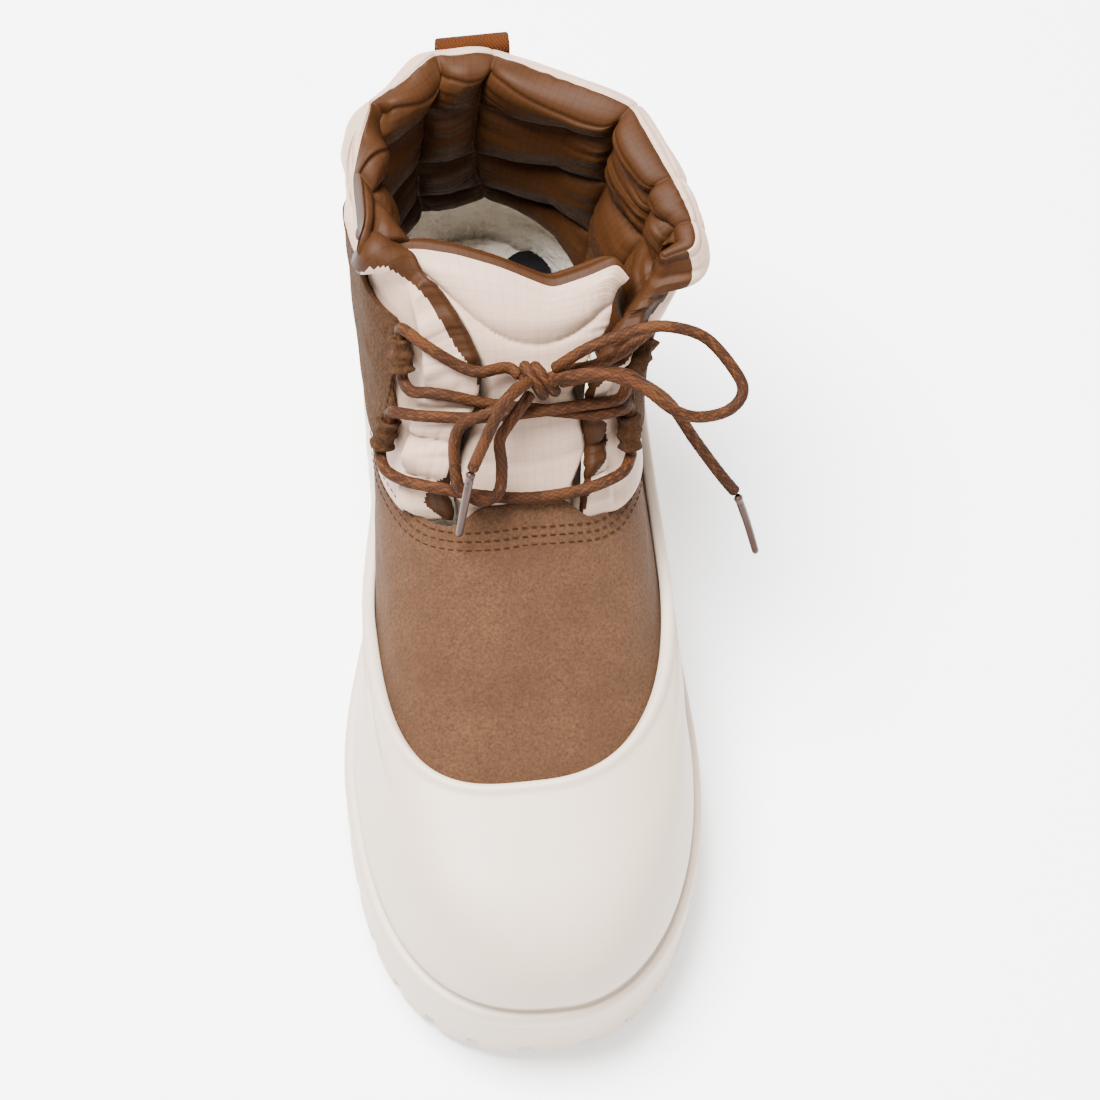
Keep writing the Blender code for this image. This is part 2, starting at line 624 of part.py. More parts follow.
TOP_INNER = ((-.082, 8.47, .0112), (-.062, 8.27, .0108), (-.040, 8.07, .0092), (-.024, 7.99, .0090))
TOP_OUTER = ((.092, 8.17, .0114), (.074, 8.02, .0110), (.054, 7.93, .0100), (.040, 7.91, .0094))
MOUTH_REACH = 0.003

# Knot of the bow, and the directions in which its strands leave it
KNOT_CENTRE = (.008, 7.86, .0100)
KNOT_SIZE = (.0086, .0064, .0054)
KNOT_EXITS = {"top_inner": (-.75, .65, 0), "top_outer": (.75, .50, -.45),
              "loop_outer": (.55, .60, .60), "loop_outer_back": (.35, -.50, .80),
              "loop_front": (-.85, -.45, .25), "loop_front_back": (-.30, -.90, -.30),
              "end_outer": (.85, -.50, -.10), "end_front": (-.30, -.30, .90)}
KNOT_GAP = CLEARANCE * 2.5


def mouth(index, end):
    """Two points just outside a lace tunnel's mouth, on its axis, the nearer one first."""
    ends = tunnel_ends(dict(zip(TUNNEL_COLUMNS, TUNNELS[index])))
    ahead = unit(ends[1] - ends[0]) * (1 if end else -1)
    start = ends[1] if end else ends[0]
    return [start + ahead * CLEARANCE * 2, start + ahead * MOUTH_REACH]


def knot_exit(strand, reach):
    """Two points of a strand that leaves the knot square to its surface, the nearer one first."""
    size, ahead = np.array(KNOT_SIZE), unit(np.array(KNOT_EXITS[strand]))
    start = on_instep([KNOT_CENTRE])[0] + size ** 2 * ahead / np.linalg.norm(size * ahead)
    return [start + ahead * KNOT_GAP, start + ahead * (KNOT_GAP + reach)]


def bar_route(start, points, finish):
    route = start + list(on_instep(points)) + finish[::-1]
    return smooth_path(route, LACE_RADIUS * 2.4)


def add_lace_bars():
    lace = bpy.data.materials["lace_cord"]
    bars = (("lace_bar_bottom", mouth(1, 1), BOTTOM_BAR, mouth(3, 1)),
            ("lace_cross", mouth(0, 1), CROSS_FALLING, mouth(3, 0)),
            ("lace_cross_rising", mouth(1, 0), CROSS_RISING, mouth(2, 1)),
            ("lace_top_inner", mouth(0, 0), TOP_INNER, knot_exit("top_inner", MOUTH_REACH)),
            ("lace_top_outer", mouth(2, 0), TOP_OUTER, knot_exit("top_outer", MOUTH_REACH)))
    made = {}
    for name, start, points, finish in bars:
        mesh = tube_mesh(bar_route(start, points, finish), LACE_RADIUS)
        if name == "lace_cross_rising":
            add_boolean(made["lace_cross"], add_cutter(name, *mesh), "UNION")
        else:
            made[name] = add_object(name, *mesh, lace)


# Loops and ends of the bow past the knot, in metres
LOOP_OUTER = ((.0266, .0306, .1570), (.0438, .0334, .1600), (.0538, .0330, .1600), (.0653, .0293, .1560),
              (.0742, .0187, .1490), (.0752, .0125, .1460), (.0695, .0078, .1440), (.0590, .0056, .1460),
              (.0506, .0074, .1500), (.0412, .0141, .1550), (.0291, .0186, .1582), (.0195, .0200, .1572))
LOOP_FRONT = ((-.0087, .0137, .1500), (-.0185, .0130, .1450), (-.0220, .0107, .1390), (-.0224, .0063, .1290),
              (-.0210, .0010, .1215), (-.0146, -.0030, .1190), (-.0086, -.0025, .1230),
              (-.0070, .0029, .1305), (-.0072, .0083, .1385), (-.0035, .0125, .1425))
END_OUTER = ((.0339, .0227, .1510), (.0421, .0201, .1470), (.0513, .0159, .1390), (.0592, .0077, .1270),
             (.0673, .0003, .1150), (.0729, -.0037, .1070))
END_FRONT = ((-.0042, .0135, .1578), (-.0090, .0090, .1520), (-.0131, .0049, .1440), (-.0175, .0009, .1335))
AGLET_OUTER = ((.0733, -.0043, .1062), (.0764, -.0098, .0960), (.0791, -.0167, .0860))
AGLET_FRONT = ((-.01775, .0006, .1330), (-.0204, -.0050, .1210), (-.0229, -.0104, .1090))
CORD_PITCH = 4.2


def add_cord(name, route, radius, material):
    """A round cord as a bevelled curve through evenly spaced points."""
    points = smooth_path(route, radius * CORD_PITCH)
    curve = bpy.data.curves.new(name, "CURVE")
    curve.dimensions = "3D"
    curve.bevel_depth = radius
    curve.bevel_resolution = 2
    curve.use_fill_caps = True
    spline = curve.splines.new("POLY")
    spline.points.add(len(points) - 1)
    for place, point in zip(spline.points, points):
        place.co = (*point, 1)
    curve.materials.append(material)
    body = bpy.data.objects.new(name, curve)
    bpy.context.collection.objects.link(body)
    body.parent = bpy.data.objects["boot"]
    return body


def add_bow():
    lace, tip = bpy.data.materials["lace_cord"], bpy.data.materials["aglet_plastic"]
    centre = on_instep([KNOT_CENTRE])[0]
    rings, columns = 8, 12
    points = []
    for ring in range(rings + 1):
        tilt = math.pi * ring / rings
        for column in range(columns):
            angle = 2 * math.pi * column / columns
            shape = (math.sin(tilt) * math.cos(angle), math.cos(tilt), math.sin(tilt) * math.sin(angle))
            points.append(centre + np.array(KNOT_SIZE) * shape)
    faces = [(ring * columns + column, ring * columns + (column + 1) % columns,
              (ring + 1) * columns + (column + 1) % columns, (ring + 1) * columns + column)
             for ring in range(rings) for column in range(columns)]
    add_object("lace_knot", points, faces, lace)
    for strand, route in (("loop_outer", LOOP_OUTER), ("loop_front", LOOP_FRONT),
                          ("end_outer", END_OUTER), ("end_front", END_FRONT)):
        route = knot_exit(strand, LACE_RADIUS * 2) + list(route)
        if strand + "_back" in KNOT_EXITS:
            route += knot_exit(strand + "_back", LACE_RADIUS * 2)[::-1]
        add_cord("lace_" + strand, route, LACE_RADIUS, lace)
    add_cord("aglet_outer", AGLET_OUTER, AGLET_RADIUS, tip)
    add_cord("aglet_front", AGLET_FRONT, AGLET_RADIUS, tip)


# Webbing pull tab at the back of the collar
def add_pull_tab():
    """A webbing strap folded into an upright loop, its ends sewn to the collar's outside."""
    back = layer(.5, TOP_LEVEL, 0)
    near = max(layer(turn, level, PUFF_OUT)[1] for turn in (.45, .5, .55) for level in (8.5, 9, 9.5, 10))
    near = near + CLEARANCE
    top, bottom = back[2] + TAB_RISE, back[2] - TAB_REACH
    middle = near + WEBBING_WALL + TAB_GAP / 2
    outer, inner = [], []
    for step in range(16):
        angle = 2 * math.pi * step / 16
        sine, cosine = math.sin(angle), math.cos(angle)
        for store, half, high, low in ((outer, TAB_GAP / 2 + WEBBING_WALL, top, bottom - .008),
                                       (inner, TAB_GAP / 2, top - WEBBING_WALL, bottom)):
            z = (high - half if sine >= -1e-9 else low + half) + half * sine
            store.append((middle + half * cosine, z))
    points = [(back[0] + side * TAB_WIDTH / 2, y, z)
              for side in (-1, 1) for ring in (outer, inner) for y, z in ring]
    faces = []
    for step in range(16):
        after = (step + 1) % 16
        faces += [(step, after, after + 32, step + 32), (16 + step, 48 + step, 48 + after, 16 + after),
                  (step, 16 + step, 16 + after, after), (32 + step, 32 + after, 48 + after, 48 + step)]
    return add_object("pull_tab", points, faces, bpy.data.materials["webbing"])


def centre_on_floor(root):
    """Puts the middle of the boot, without its loose laces, over the origin."""
    solids = [body for body in root.children if body.type == "MESH" and not body.hide_render]
    corners = np.array([vertex.co[:] for body in solids for vertex in body.data.vertices])
    middle = (corners.min(axis=0) + corners.max(axis=0)) / 2
    root.location = (-middle[0], -middle[1], 0)


def build():
    for item in list(bpy.data.objects):
        bpy.data.objects.remove(item)
    root = bpy.data.objects.new("boot", None)
    bpy.context.collection.objects.link(root)
    make_material("moulded_eva", (.80, .74, .68), .55)
    make_material("suede", (.38, .20, .10), .95)
    make_material("puffer_nylon", (.74, .65, .60), .45)
    make_material("fleece", (.78, .70, .58), 1.0)
    make_material("webbing", (.33, .13, .05), .85)
    make_material("lace_cord", (.30, .11, .04), .75)
    make_material("aglet_plastic", (.16, .08, .06), .30)
    add_outsole()
    add_upper()
    add_insole()
    add_collar()
    add_tongue()
    add_wing("wing_outer", 1)
    add_wing("wing_inner", -1)
    add_pull_tab()
    add_lace_bars()
    add_bow()
    centre_on_floor(root)


build()
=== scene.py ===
import math

import bpy
import numpy as np
from mathutils import Matrix, Vector


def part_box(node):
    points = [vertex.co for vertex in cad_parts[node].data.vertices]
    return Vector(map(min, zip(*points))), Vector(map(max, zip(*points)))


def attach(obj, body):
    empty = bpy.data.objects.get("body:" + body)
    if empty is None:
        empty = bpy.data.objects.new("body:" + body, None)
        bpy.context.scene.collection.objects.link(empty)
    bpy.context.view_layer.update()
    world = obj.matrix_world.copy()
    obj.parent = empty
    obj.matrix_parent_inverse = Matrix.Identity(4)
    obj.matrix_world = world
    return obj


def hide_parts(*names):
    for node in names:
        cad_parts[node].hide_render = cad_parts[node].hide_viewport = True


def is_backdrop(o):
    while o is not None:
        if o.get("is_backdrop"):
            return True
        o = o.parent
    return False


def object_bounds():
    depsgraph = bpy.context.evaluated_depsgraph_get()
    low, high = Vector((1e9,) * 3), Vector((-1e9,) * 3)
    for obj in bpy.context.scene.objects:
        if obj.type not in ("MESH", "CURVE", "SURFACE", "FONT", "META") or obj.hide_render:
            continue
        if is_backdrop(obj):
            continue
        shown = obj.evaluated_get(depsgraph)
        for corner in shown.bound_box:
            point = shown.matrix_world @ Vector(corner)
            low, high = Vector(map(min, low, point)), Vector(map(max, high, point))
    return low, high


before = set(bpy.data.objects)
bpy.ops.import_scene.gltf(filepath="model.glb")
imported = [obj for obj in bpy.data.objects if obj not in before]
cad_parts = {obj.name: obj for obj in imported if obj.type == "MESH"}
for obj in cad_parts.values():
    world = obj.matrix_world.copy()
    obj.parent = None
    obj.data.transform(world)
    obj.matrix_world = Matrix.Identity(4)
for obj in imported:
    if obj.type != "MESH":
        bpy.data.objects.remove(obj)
cad_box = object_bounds()


# Outsole with its wrap-around guard. The real one is a single piece of foamed EVA from a steel
# mould: lugged tread, tapered sidewall, a flat bead round the foot, and a thin guard with a rolled
# lip that the suede is cemented into.
LAST_LENGTH, BALL_WIDTH = 0.2885, 0.102
SOLE_HEIGHT, UPPER_HEIGHT = 0.034, 0.134
PLACED = (-0.001584, 0.0033159, 0)
CLEARANCE = 0.0003
SUEDE_WALL, GUARD_WALL = 0.0022, 0.0036
RIDGE_STEP, SIDEWALL_TAPER = 0.0042, 0.001
LUG_COUNT, LUG_SHARE, GROOVE_DEPTH, RECESS_DEPTH = 36, 0.72, 0.0045, 0.0035
GUARD_LEVEL, SEAM_LEVEL = 4.0, 6.05
RING_COLUMNS = ("y_front", "y_back", "z_front", "z_back", "sag", "drop", "x_front", "x_back",
                "ball_out", "ball_in", "waist_out", "waist_in", "heel_out", "heel_in",
                "cap_front", "cap_back", "round_out", "round_in", "round_back")
RINGS = np.array((
    (-.512, .489, -.041, 0, -.06, 1.0, -.038, .007,
     .471, .529, .425, .331, .353, .319, .31, .2, 2.058, 2.721, 2.1),
    (-.517, .499, .045, .075, -.06, 1.0, -.038, .007,
     .481, .539, .444, .35, .373, .339, .31, .2, 2.058, 2.721, 2.1),
    (-.497, .501, .142, .134, -.045, 1.0, -.028, .007,
     .456, .519, .435, .365, .377, .344, .32, .2, 2.058, 2.721, 2.1),
    (-.439, .499, .213, .187, -.022, 1.0, -.037, .003,
     .469, .487, .447, .359, .382, .361, .358, .2, 2.204, 3.199, 2.1),
    (-.3, .496, .269, .239, -.045, 1.0, -.047, .007,
     .472, .444, .458, .353, .382, .373, .387, .2, 2.45, 3.778, 2.1),
    (-.166, .49, .358, .299, -.015, 3.0, -.026, -.004,
     .44, .426, .435, .369, .382, .373, .3, .22, 2.4, 2.6, 2.1),
    (-.042, .484, .485, .373, 0, 3.0, -.007, -.013,
     .421, .415, .416, .382, .382, .373, .3, .25, 2.4, 2.4, 2.1),
    (.042, .476, .627, .522, 0, 1.5, .01, -.01,
     .419, .402, .415, .398, .392, .388, .33, .3, 2.4, 2.4, 2.1),
    (.125, .471, .806, .687, 0, 1.0, .02, 0,
     .488, .422, .449, .427, .412, .407, .36, .4, 2.6, 2.6, 2.1),
    (.184, .473, .925, .866, 0, 1.0, .02, .01,
     .591, .431, .465, .458, .451, .429, .36, .5, 2.8, 2.8, 2.1),
    (.198, .47, .978, 1, 0, 1.0, .02, .01,
     .623, .441, .466, .466, .461, .432, .36, .55, 2.8, 2.8, 2.1),
))
TOP_LEVEL = len(RINGS) - 1


def smooth(value):
    value = np.clip(value, 0, 1)
    return value * value * (3 - 2 * value)


def unit(vectors):
    return vectors / np.maximum(np.linalg.norm(vectors, axis=-1, keepdims=True), 1e-9)


def spline(before, start, end, after, part):
    """A smooth curve through four neighbours, at a part of the way from start to end."""
    return .5 * (2 * start + (end - before) * part
                 + (2 * before - 5 * start + 4 * end - after) * part ** 2
                 + (3 * start - before - 3 * end + after) * part ** 3)


def ring_row(level):
    level = np.clip(np.asarray(level, float), 0, TOP_LEVEL)
    index = np.clip(np.floor(level).astype(int), 0, TOP_LEVEL - 1)
    neighbours = (RINGS[np.clip(index + step, 0, TOP_LEVEL)] for step in (-1, 0, 1, 2))
    return spline(*neighbours, (level - index)[..., None])


def last_surface(turn, level):
    """The last: turn 0 is the toe, .25 the outer side and .5 the heel, level 0 the feather line."""
    turn, level = np.broadcast_arrays(np.asarray(turn, float), np.asarray(level, float))
    row = dict(zip(RING_COLUMNS, np.moveaxis(ring_row(level), -1, 0)))
    angle = 2 * math.pi * turn
    along = (1 - np.cos(angle)) / 2
    outer = np.sin(angle) >= 0
    ball, waist, heel = (np.where(outer, row[name + "_out"], row[name + "_in"])
                         for name in ("ball", "waist", "heel"))
    half = (ball + (waist - ball) * smooth((along - .30) / .36)
            + (heel - waist) * smooth((along - .66) / .24))
    power = np.where(outer, row["round_out"], row["round_in"])
    front = np.clip(1 - along / row["cap_front"], 0, 1)
    back = np.clip(1 - (1 - along) / row["cap_back"], 0, 1)
    half = half * (1 - front ** power) ** (1 / power)
    half = half * (1 - back ** row["round_back"]) ** (1 / row["round_back"])
    x = row["x_front"] + (row["x_back"] - row["x_front"]) * smooth(along) + np.where(outer, half, -half)
    y = row["y_front"] + (row["y_back"] - row["y_front"]) * along
    z = row["z_back"] + (row["z_front"] - row["z_back"]) * (1 - along) ** row["drop"]
    z = z + row["sag"] * np.sin(math.pi * along)
    return np.stack([x * BALL_WIDTH, y * LAST_LENGTH, SOLE_HEIGHT + z * UPPER_HEIGHT], -1) + PLACED


def surface_frame(turn, level):
    """Unit vectors of the last at a point: along the ring, up the surface, and outwards."""
    step = 1e-3
    across = unit(last_surface(turn + step, level) - last_surface(turn - step, level))
    up = last_surface(turn, np.minimum(level + step, TOP_LEVEL)) - last_surface(turn, level - step)
    out = unit(np.cross(across, up))
    return across, np.cross(out, across), out


def layer(turn, level, out, rise=0):
    """Points that stand off the last along its outward normal, and slide up it by a distance."""
    turn, level, out, rise = np.broadcast_arrays(*(np.asarray(item, float)
                                                   for item in (turn, level, out, rise)))
    across, up, outward = surface_frame(turn, level)
    return last_surface(turn, level) + outward * out[..., None] + up * rise[..., None]


def lattice_noise(u, v, seed):
    """Smooth two-way noise from -1 to 1, the same at each run."""
    table = np.random.default_rng(seed).uniform(-1, 1, (64, 64))
    u, v = np.broadcast_arrays(np.asarray(u, float), np.asarray(v, float))
    iu, iv = np.floor(u).astype(int), np.floor(v).astype(int)
    fu, fv = smooth(u - iu), smooth(v - iv)
    corner = lambda a, b: table[(iu + a) % 64, (iv + b) % 64]
    low = corner(0, 0) * (1 - fu) + corner(1, 0) * fu
    high = corner(0, 1) * (1 - fu) + corner(1, 1) * fu
    return low * (1 - fv) + high * fv


def arc_lengths(points, axis):
    steps = np.linalg.norm(np.diff(points, axis=axis), axis=-1)
    zero = np.zeros_like(np.take(steps, [0], axis=axis))
    return np.concatenate([zero, np.cumsum(steps, axis=axis)], axis=axis)


def grid_piece(name, points, cloth, wrap_columns=True, wrap_rows=False, face_cloth=None, flip=False):
    """A smooth skin over a grid of points. Its map holds metres round and metres up."""
    rows, columns = points.shape[:2]
    column = np.arange(columns if wrap_columns else columns - 1)
    row = np.arange(rows if wrap_rows else rows - 1)
    near = row[:, None] * columns + column[None, :]
    right = row[:, None] * columns + ((column + 1) % columns)[None, :]
    above = (row + 1) % rows * columns
    high_right = above[:, None] + ((column + 1) % columns)[None, :]
    high_near = above[:, None] + column[None, :]
    quads = np.stack([near, right, high_right, high_near], -1).reshape(-1, 4)
    if flip:
        quads = quads[:, ::-1]
    mesh = bpy.data.meshes.new(name)
    mesh.vertices.add(rows * columns)
    mesh.vertices.foreach_set("co", points.astype(np.float32).ravel())
    mesh.loops.add(quads.size)
    mesh.loops.foreach_set("vertex_index", quads.astype(np.int32).ravel())
    mesh.polygons.add(len(quads))
    mesh.polygons.foreach_set("loop_start", np.arange(0, quads.size, 4, dtype=np.int32))
    mesh.update(calc_edges=True)
    around = np.median(arc_lengths(points, 1), axis=0)
    around = np.append(around, 2 * around[-1] - around[-2])
    height = np.median(arc_lengths(points, 0), axis=1)
    height = np.append(height, 2 * height[-1] - height[-2])
    u = np.stack([around[column], around[column + 1], around[column + 1], around[column]], -1)
    v = np.stack([height[row], height[row], height[row + 1], height[row + 1]], -1)
    coords = np.stack(np.broadcast_arrays(u[None, :, :], v[:, None, :]), -1).reshape(-1, 4, 2)
    if flip:
        coords = coords[:, ::-1]
    mesh.uv_layers.new(name="metres").data.foreach_set("uv", coords.astype(np.float32).ravel())
    mesh.shade_smooth()
    body = bpy.data.objects.new(name, mesh)
    bpy.context.collection.objects.link(body)
    for finish in cloth if isinstance(cloth, (list, tuple)) else [cloth]:
        mesh.materials.append(finish)
    if face_cloth is not None:
        mesh.polygons.foreach_set("material_index", np.broadcast_to(face_cloth, (len(row), len(column)))
                                  .astype(np.int32).ravel())
    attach(body, "root")
    return body


def new_group(name, inputs, outputs):
    """An empty shader group with named sockets: inputs as (name, default), outputs by name."""
    group = bpy.data.node_groups.new(name, "ShaderNodeTree")
    for label, default in inputs:
        kind = "NodeSocketColor" if isinstance(default, tuple) and len(default) == 4 else \
            "NodeSocketVector" if isinstance(default, tuple) else "NodeSocketFloat"
        group.interface.new_socket(label, in_out="INPUT", socket_type=kind).default_value = default
    for label, kind in outputs:
        group.interface.new_socket(label, in_out="OUTPUT", socket_type=kind)
    return group, group.nodes.new("NodeGroupInput"), group.nodes.new("NodeGroupOutput")


def node(tree, kind, links=(), **settings):
    """A node with its settings, and its inputs linked or filled by name or place."""
    made = tree.nodes.new("ShaderNode" + kind)
    for key, value in settings.items():
        setattr(made, key, value)
    for socket, value in dict(links).items():
        if isinstance(value, bpy.types.NodeSocket):
            tree.links.new(value, made.inputs[socket])
        else:
            made.inputs[socket].default_value = value
    return made


def maths(tree, operation, first, second=0.0):
    return node(tree, "Math", {0: first, 1: second}, operation=operation).outputs[0]


def blend_colours(tree, share, first, second, kind="MIX"):
    mix = node(tree, "Mix", data_type="RGBA", blend_type=kind)
    for socket, value in zip((mix.inputs[0], mix.inputs[6], mix.inputs[7]), (share, first, second)):
        if isinstance(value, bpy.types.NodeSocket):
            tree.links.new(value, socket)
        else:
            socket.default_value = value
    return mix.outputs[2]


def finish_material(name, roughness, **fixed):
    """A material with its Principled shader, constants set on the shader's own sockets."""
    material = bpy.data.materials.new(name)
    material.use_nodes = True
    shader = material.node_tree.nodes["Principled BSDF"]
    shader.inputs["Roughness"].default_value = roughness
    for label, value in fixed.items():
        shader.inputs[label.replace("_", " ")].default_value = value
    return material, material.node_tree, shader


# Colour clouds and a two-scale surface grain, used by foam, suede, fleece and webbing alike
grain, grain_in, grain_out = new_group("cloudy_grain", [("Colour", (1, 1, 1, 1)), ("Shade", (1, 1, 1, 1)),
    ("Cloud size", 30.0), ("Grain size", 1500.0), ("Cloud", .5), ("Speckle", .2)],
    [("Colour", "NodeSocketColor"), ("Height", "NodeSocketFloat")])
place = node(grain, "TexCoord").outputs["Object"]
clouds = node(grain, "TexNoise", {"Vector": place, "Scale": grain_in.outputs["Cloud size"], "Detail": 5.0,
                                  "Roughness": .62}).outputs[0]
specks = node(grain, "TexNoise", {"Vector": place, "Scale": grain_in.outputs["Grain size"], "Detail": 3.0,
                                  "Roughness": .7}).outputs[0]
spread = node(grain, "MapRange", {"Value": clouds, 1: .32, 2: .68, 3: 0.0, 4: 1.0}).outputs[0]
tone = blend_colours(grain, maths(grain, "MULTIPLY", spread, grain_in.outputs["Cloud"]),
                     grain_in.outputs["Colour"], grain_in.outputs["Shade"])
speck = node(grain, "MapRange", {"Value": specks, 1: .3, 2: .7, 3: 0.0, 4: 1.0}).outputs[0]
dots = maths(grain, "MULTIPLY", speck, grain_in.outputs["Speckle"])
grain.links.new(blend_colours(grain, dots, tone, grain_in.outputs["Shade"]), grain_out.inputs["Colour"])
grain.links.new(maths(grain, "ADD", specks, maths(grain, "MULTIPLY", clouds, .5)), grain_out.inputs["Height"])


def grained(tree, shader, colour, shade, cloud_size, grain_size, cloud, speckle, bump=0, depth=.0004):
    """Puts the cloudy grain on a material, as its colour and, unless it is 0, as its bump."""
    use = tree.nodes.new("ShaderNodeGroup")
    use.node_tree = grain
    for label, value in (("Colour", (*colour, 1)), ("Shade", (*shade, 1)), ("Cloud size", cloud_size),
                         ("Grain size", grain_size), ("Cloud", cloud), ("Speckle", speckle)):
        use.inputs[label].default_value = value
    tree.links.new(use.outputs["Colour"], shader.inputs["Base Color"])
    if bump:
        relief = node(tree, "Bump", {"Strength": bump, "Distance": depth, "Height": use.outputs["Height"]})
        tree.links.new(relief.outputs[0], shader.inputs["Normal"])
    return use


foam, foam_tree, foam_shader = finish_material(
    "moulded_foam", .52, Subsurface_Weight=.12, Subsurface_Scale=.004, Coat_Weight=.04, Coat_Roughness=.5)
foam_shader.inputs["Subsurface Radius"].default_value = (1, .8, .65)
grained(foam_tree, foam_shader, (.50, .402, .316), (.44, .342, .260), 14, 900, .5, .10, .12, .0003)


def ground(y):
    """Height of the tread over the floor: toe spring, arch and heel bevel."""
    y = y - PLACED[1]
    toe, heel = RINGS[0][0] * LAST_LENGTH, RINGS[0][1] * LAST_LENGTH
    rise = .0045 * np.clip((-.095 - y) / (-.095 - toe), 0, None) ** 2
    rise = rise + .0025 * np.clip((y - .125) / (heel - .125), 0, None) ** 2
    return rise + .003 * np.sin(math.pi * np.clip((y + .005) / .065, 0, 1)) ** 2


def plan_ring(turns, out):
    """The feather line moved outwards level with the floor."""
    ahead = last_surface(turns + 1e-3, 0) - last_surface(turns - 1e-3, 0)
    ring = last_surface(turns, 0)
    ring[:, :2] += unit(np.stack([ahead[:, 1], -ahead[:, 0]], -1)) * out
    return ring


def at_height(ring, height):
    ring = ring.copy()
    ring[:, 2] = height
    return ring


sole_turns = (np.arange(LUG_COUNT * 30) + .5) / (LUG_COUNT * 30) - .5 / LUG_COUNT
inner_out = SUEDE_WALL + CLEARANCE
outer_out = inner_out + GUARD_WALL
ridge_out = outer_out + RIDGE_STEP
edge = plan_ring(sole_turns, ridge_out - SIDEWALL_TAPER)
lug_place = (sole_turns * LUG_COUNT + .5) % 1 - .5
notch = smooth((np.abs(lug_place) - LUG_SHARE / 2 + .02) / .05)
spine = edge.copy()
spine[:, 0] = RINGS[0][6:8].mean() * BALL_WIDTH + PLACED[0]
spine[:, 1] = PLACED[1] + (last_surface(sole_turns, 0)[:, 1] - PLACED[1]) * .85


def tread(share, lift):
    ring = spine + (edge - spine) * share
    return at_height(ring, ground(ring[:, 1]) + lift)


def lip(out, down):
    """A ring of the guard's rolled edge: its distance off the last, and down from the guard's level."""
    return layer(sole_turns, GUARD_LEVEL, out, -down)


feather = edge[:, 2]
rows = [tread(share, RECESS_DEPTH) for share in (0, .3, .6, .74)]
rows += [tread(.765, np.where(notch > .5, RECESS_DEPTH, .0012)), tread(.775, RECESS_DEPTH * notch)]
rows += [tread(share, GROOVE_DEPTH * notch + lift)
         for share, lift in ((.86, 0), (.97, 0), (.988, .00015), (.996, .0005))]
foot_line = ground(edge[:, 1]) + GROOVE_DEPTH * notch
for share in (.06, .14, .3, .5, .7, .85, .94):
    out = ridge_out - SIDEWALL_TAPER + SIDEWALL_TAPER / 2 * share
    rows.append(at_height(plan_ring(sole_turns, out), foot_line + (feather - foot_line) * share))
RIDGE_PROFILE = ((-.00060, -.0006), (-.00040, .0002), (-.00015, .0010), (0, .0018), (0, .0034), (0, .0046),
                 (-.0003, .0056), (-.0008, .0062), (-.0015, .0065), (-.0024, .0066), (-.0032, .0067),
                 (-.0037, .0071))
for out, rise in RIDGE_PROFILE:
    rows.append(at_height(plan_ring(sole_turns, ridge_out + out), feather + rise))
rows += [layer(sole_turns, level, outer_out) for level in np.linspace(.95, 3.2, 19)]
rows += [lip(outer_out, down) for down in (.0058, .0048)]
BEAD_PROFILE = ((.0001, .0040), (.0004, .0033), (.0007, .0026), (.0008, .0018), (.0006, .0010),
                (.0001, .0003), (-.0008, 0), (-.0020, 0))
rows += [lip(outer_out + bead, down) for bead, down in BEAD_PROFILE]
rows += [lip(inner_out + gap, down) for gap, down in ((.0008, .0001), (.0002, .0006), (0, .0016))]
rows += [layer(sole_turns, level, inner_out) for level in (3.4, 2.6, 2, 1.4, .75)]
floor_ring = plan_ring(sole_turns, inner_out)
rows.append(floor_ring)
rows.append(at_height(spine, floor_ring[:, 2]))
outsole = grid_piece("outsole", np.array(rows), foam)
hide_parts("outsole_guard")


# Suede vamp, quarters and heel. The real upper is one skin of tan suede with its nap outside and
# fleece inside, cemented into the guard, and sewn to the quilted shaft with three rows of thread.
THROAT_COLUMNS = ("level", "throat_out", "throat_in", "tongue_out", "tongue_in")
THROAT = np.array((
    (6.0, .175, .250, .235, .235), (6.3, .185, .250, .250, .250), (6.7, .225, .235, .270, .270),
    (7.2, .243, .190, .285, .285), (8.0, .241, .135, .315, .305), (8.5, .290, .190, .345, .320),
    (9.2, .410, .310, .385, .345), (10.0, .530, .410, .430, .360),
))


def throat(name, level):
    return np.interp(level, THROAT[:, 0], THROAT[:, THROAT_COLUMNS.index(name)]) * BALL_WIDTH


SEWN_LINE = np.array((
    (-.5, 6.0), (-.25, 6.02), (-.137, 6.17), (-.100, 6.11), (-.080, 6.10), (-.037, 6.17), (0, 6.23),
    (.030, 6.18), (.057, 6.09), (.079, 6.06), (.112, 6.09), (.25, 6.02), (.5, 6.0)))


def softened(line, passes):
    """A line whose points are averaged with their neighbours, its two ends kept."""
    line = line.copy()
    for _ in range(passes):
        line[1:-1] = (line[:-2] + line[1:-1] * 2 + line[2:]) / 4
    return line


def sewn_level(turn):
    """Level of the upper row of stitches, which dips beside the tongue."""
    turn = np.asarray(turn, float)
    fine = np.linspace(-.5, .5, 401)
    line = softened(np.interp(fine, SEWN_LINE[:, 0], SEWN_LINE[:, 1]), 12)
    return np.interp(np.where(turn > .5, turn - 1, turn), fine, line)


def seam_level(turn):
    """Top edge of the suede: it rises to a crescent between the throat edges."""
    x = last_surface(turn, SEAM_LEVEL)[..., 0] - PLACED[0]
    front = np.cos(2 * math.pi * np.asarray(turn)) > .5
    wide = np.where(x > 0, .235, .255) * BALL_WIDTH
    return sewn_level(turn) + .035 + np.where(front, .24 * smooth((wide - np.abs(x)) / (.5 * wide)), 0)


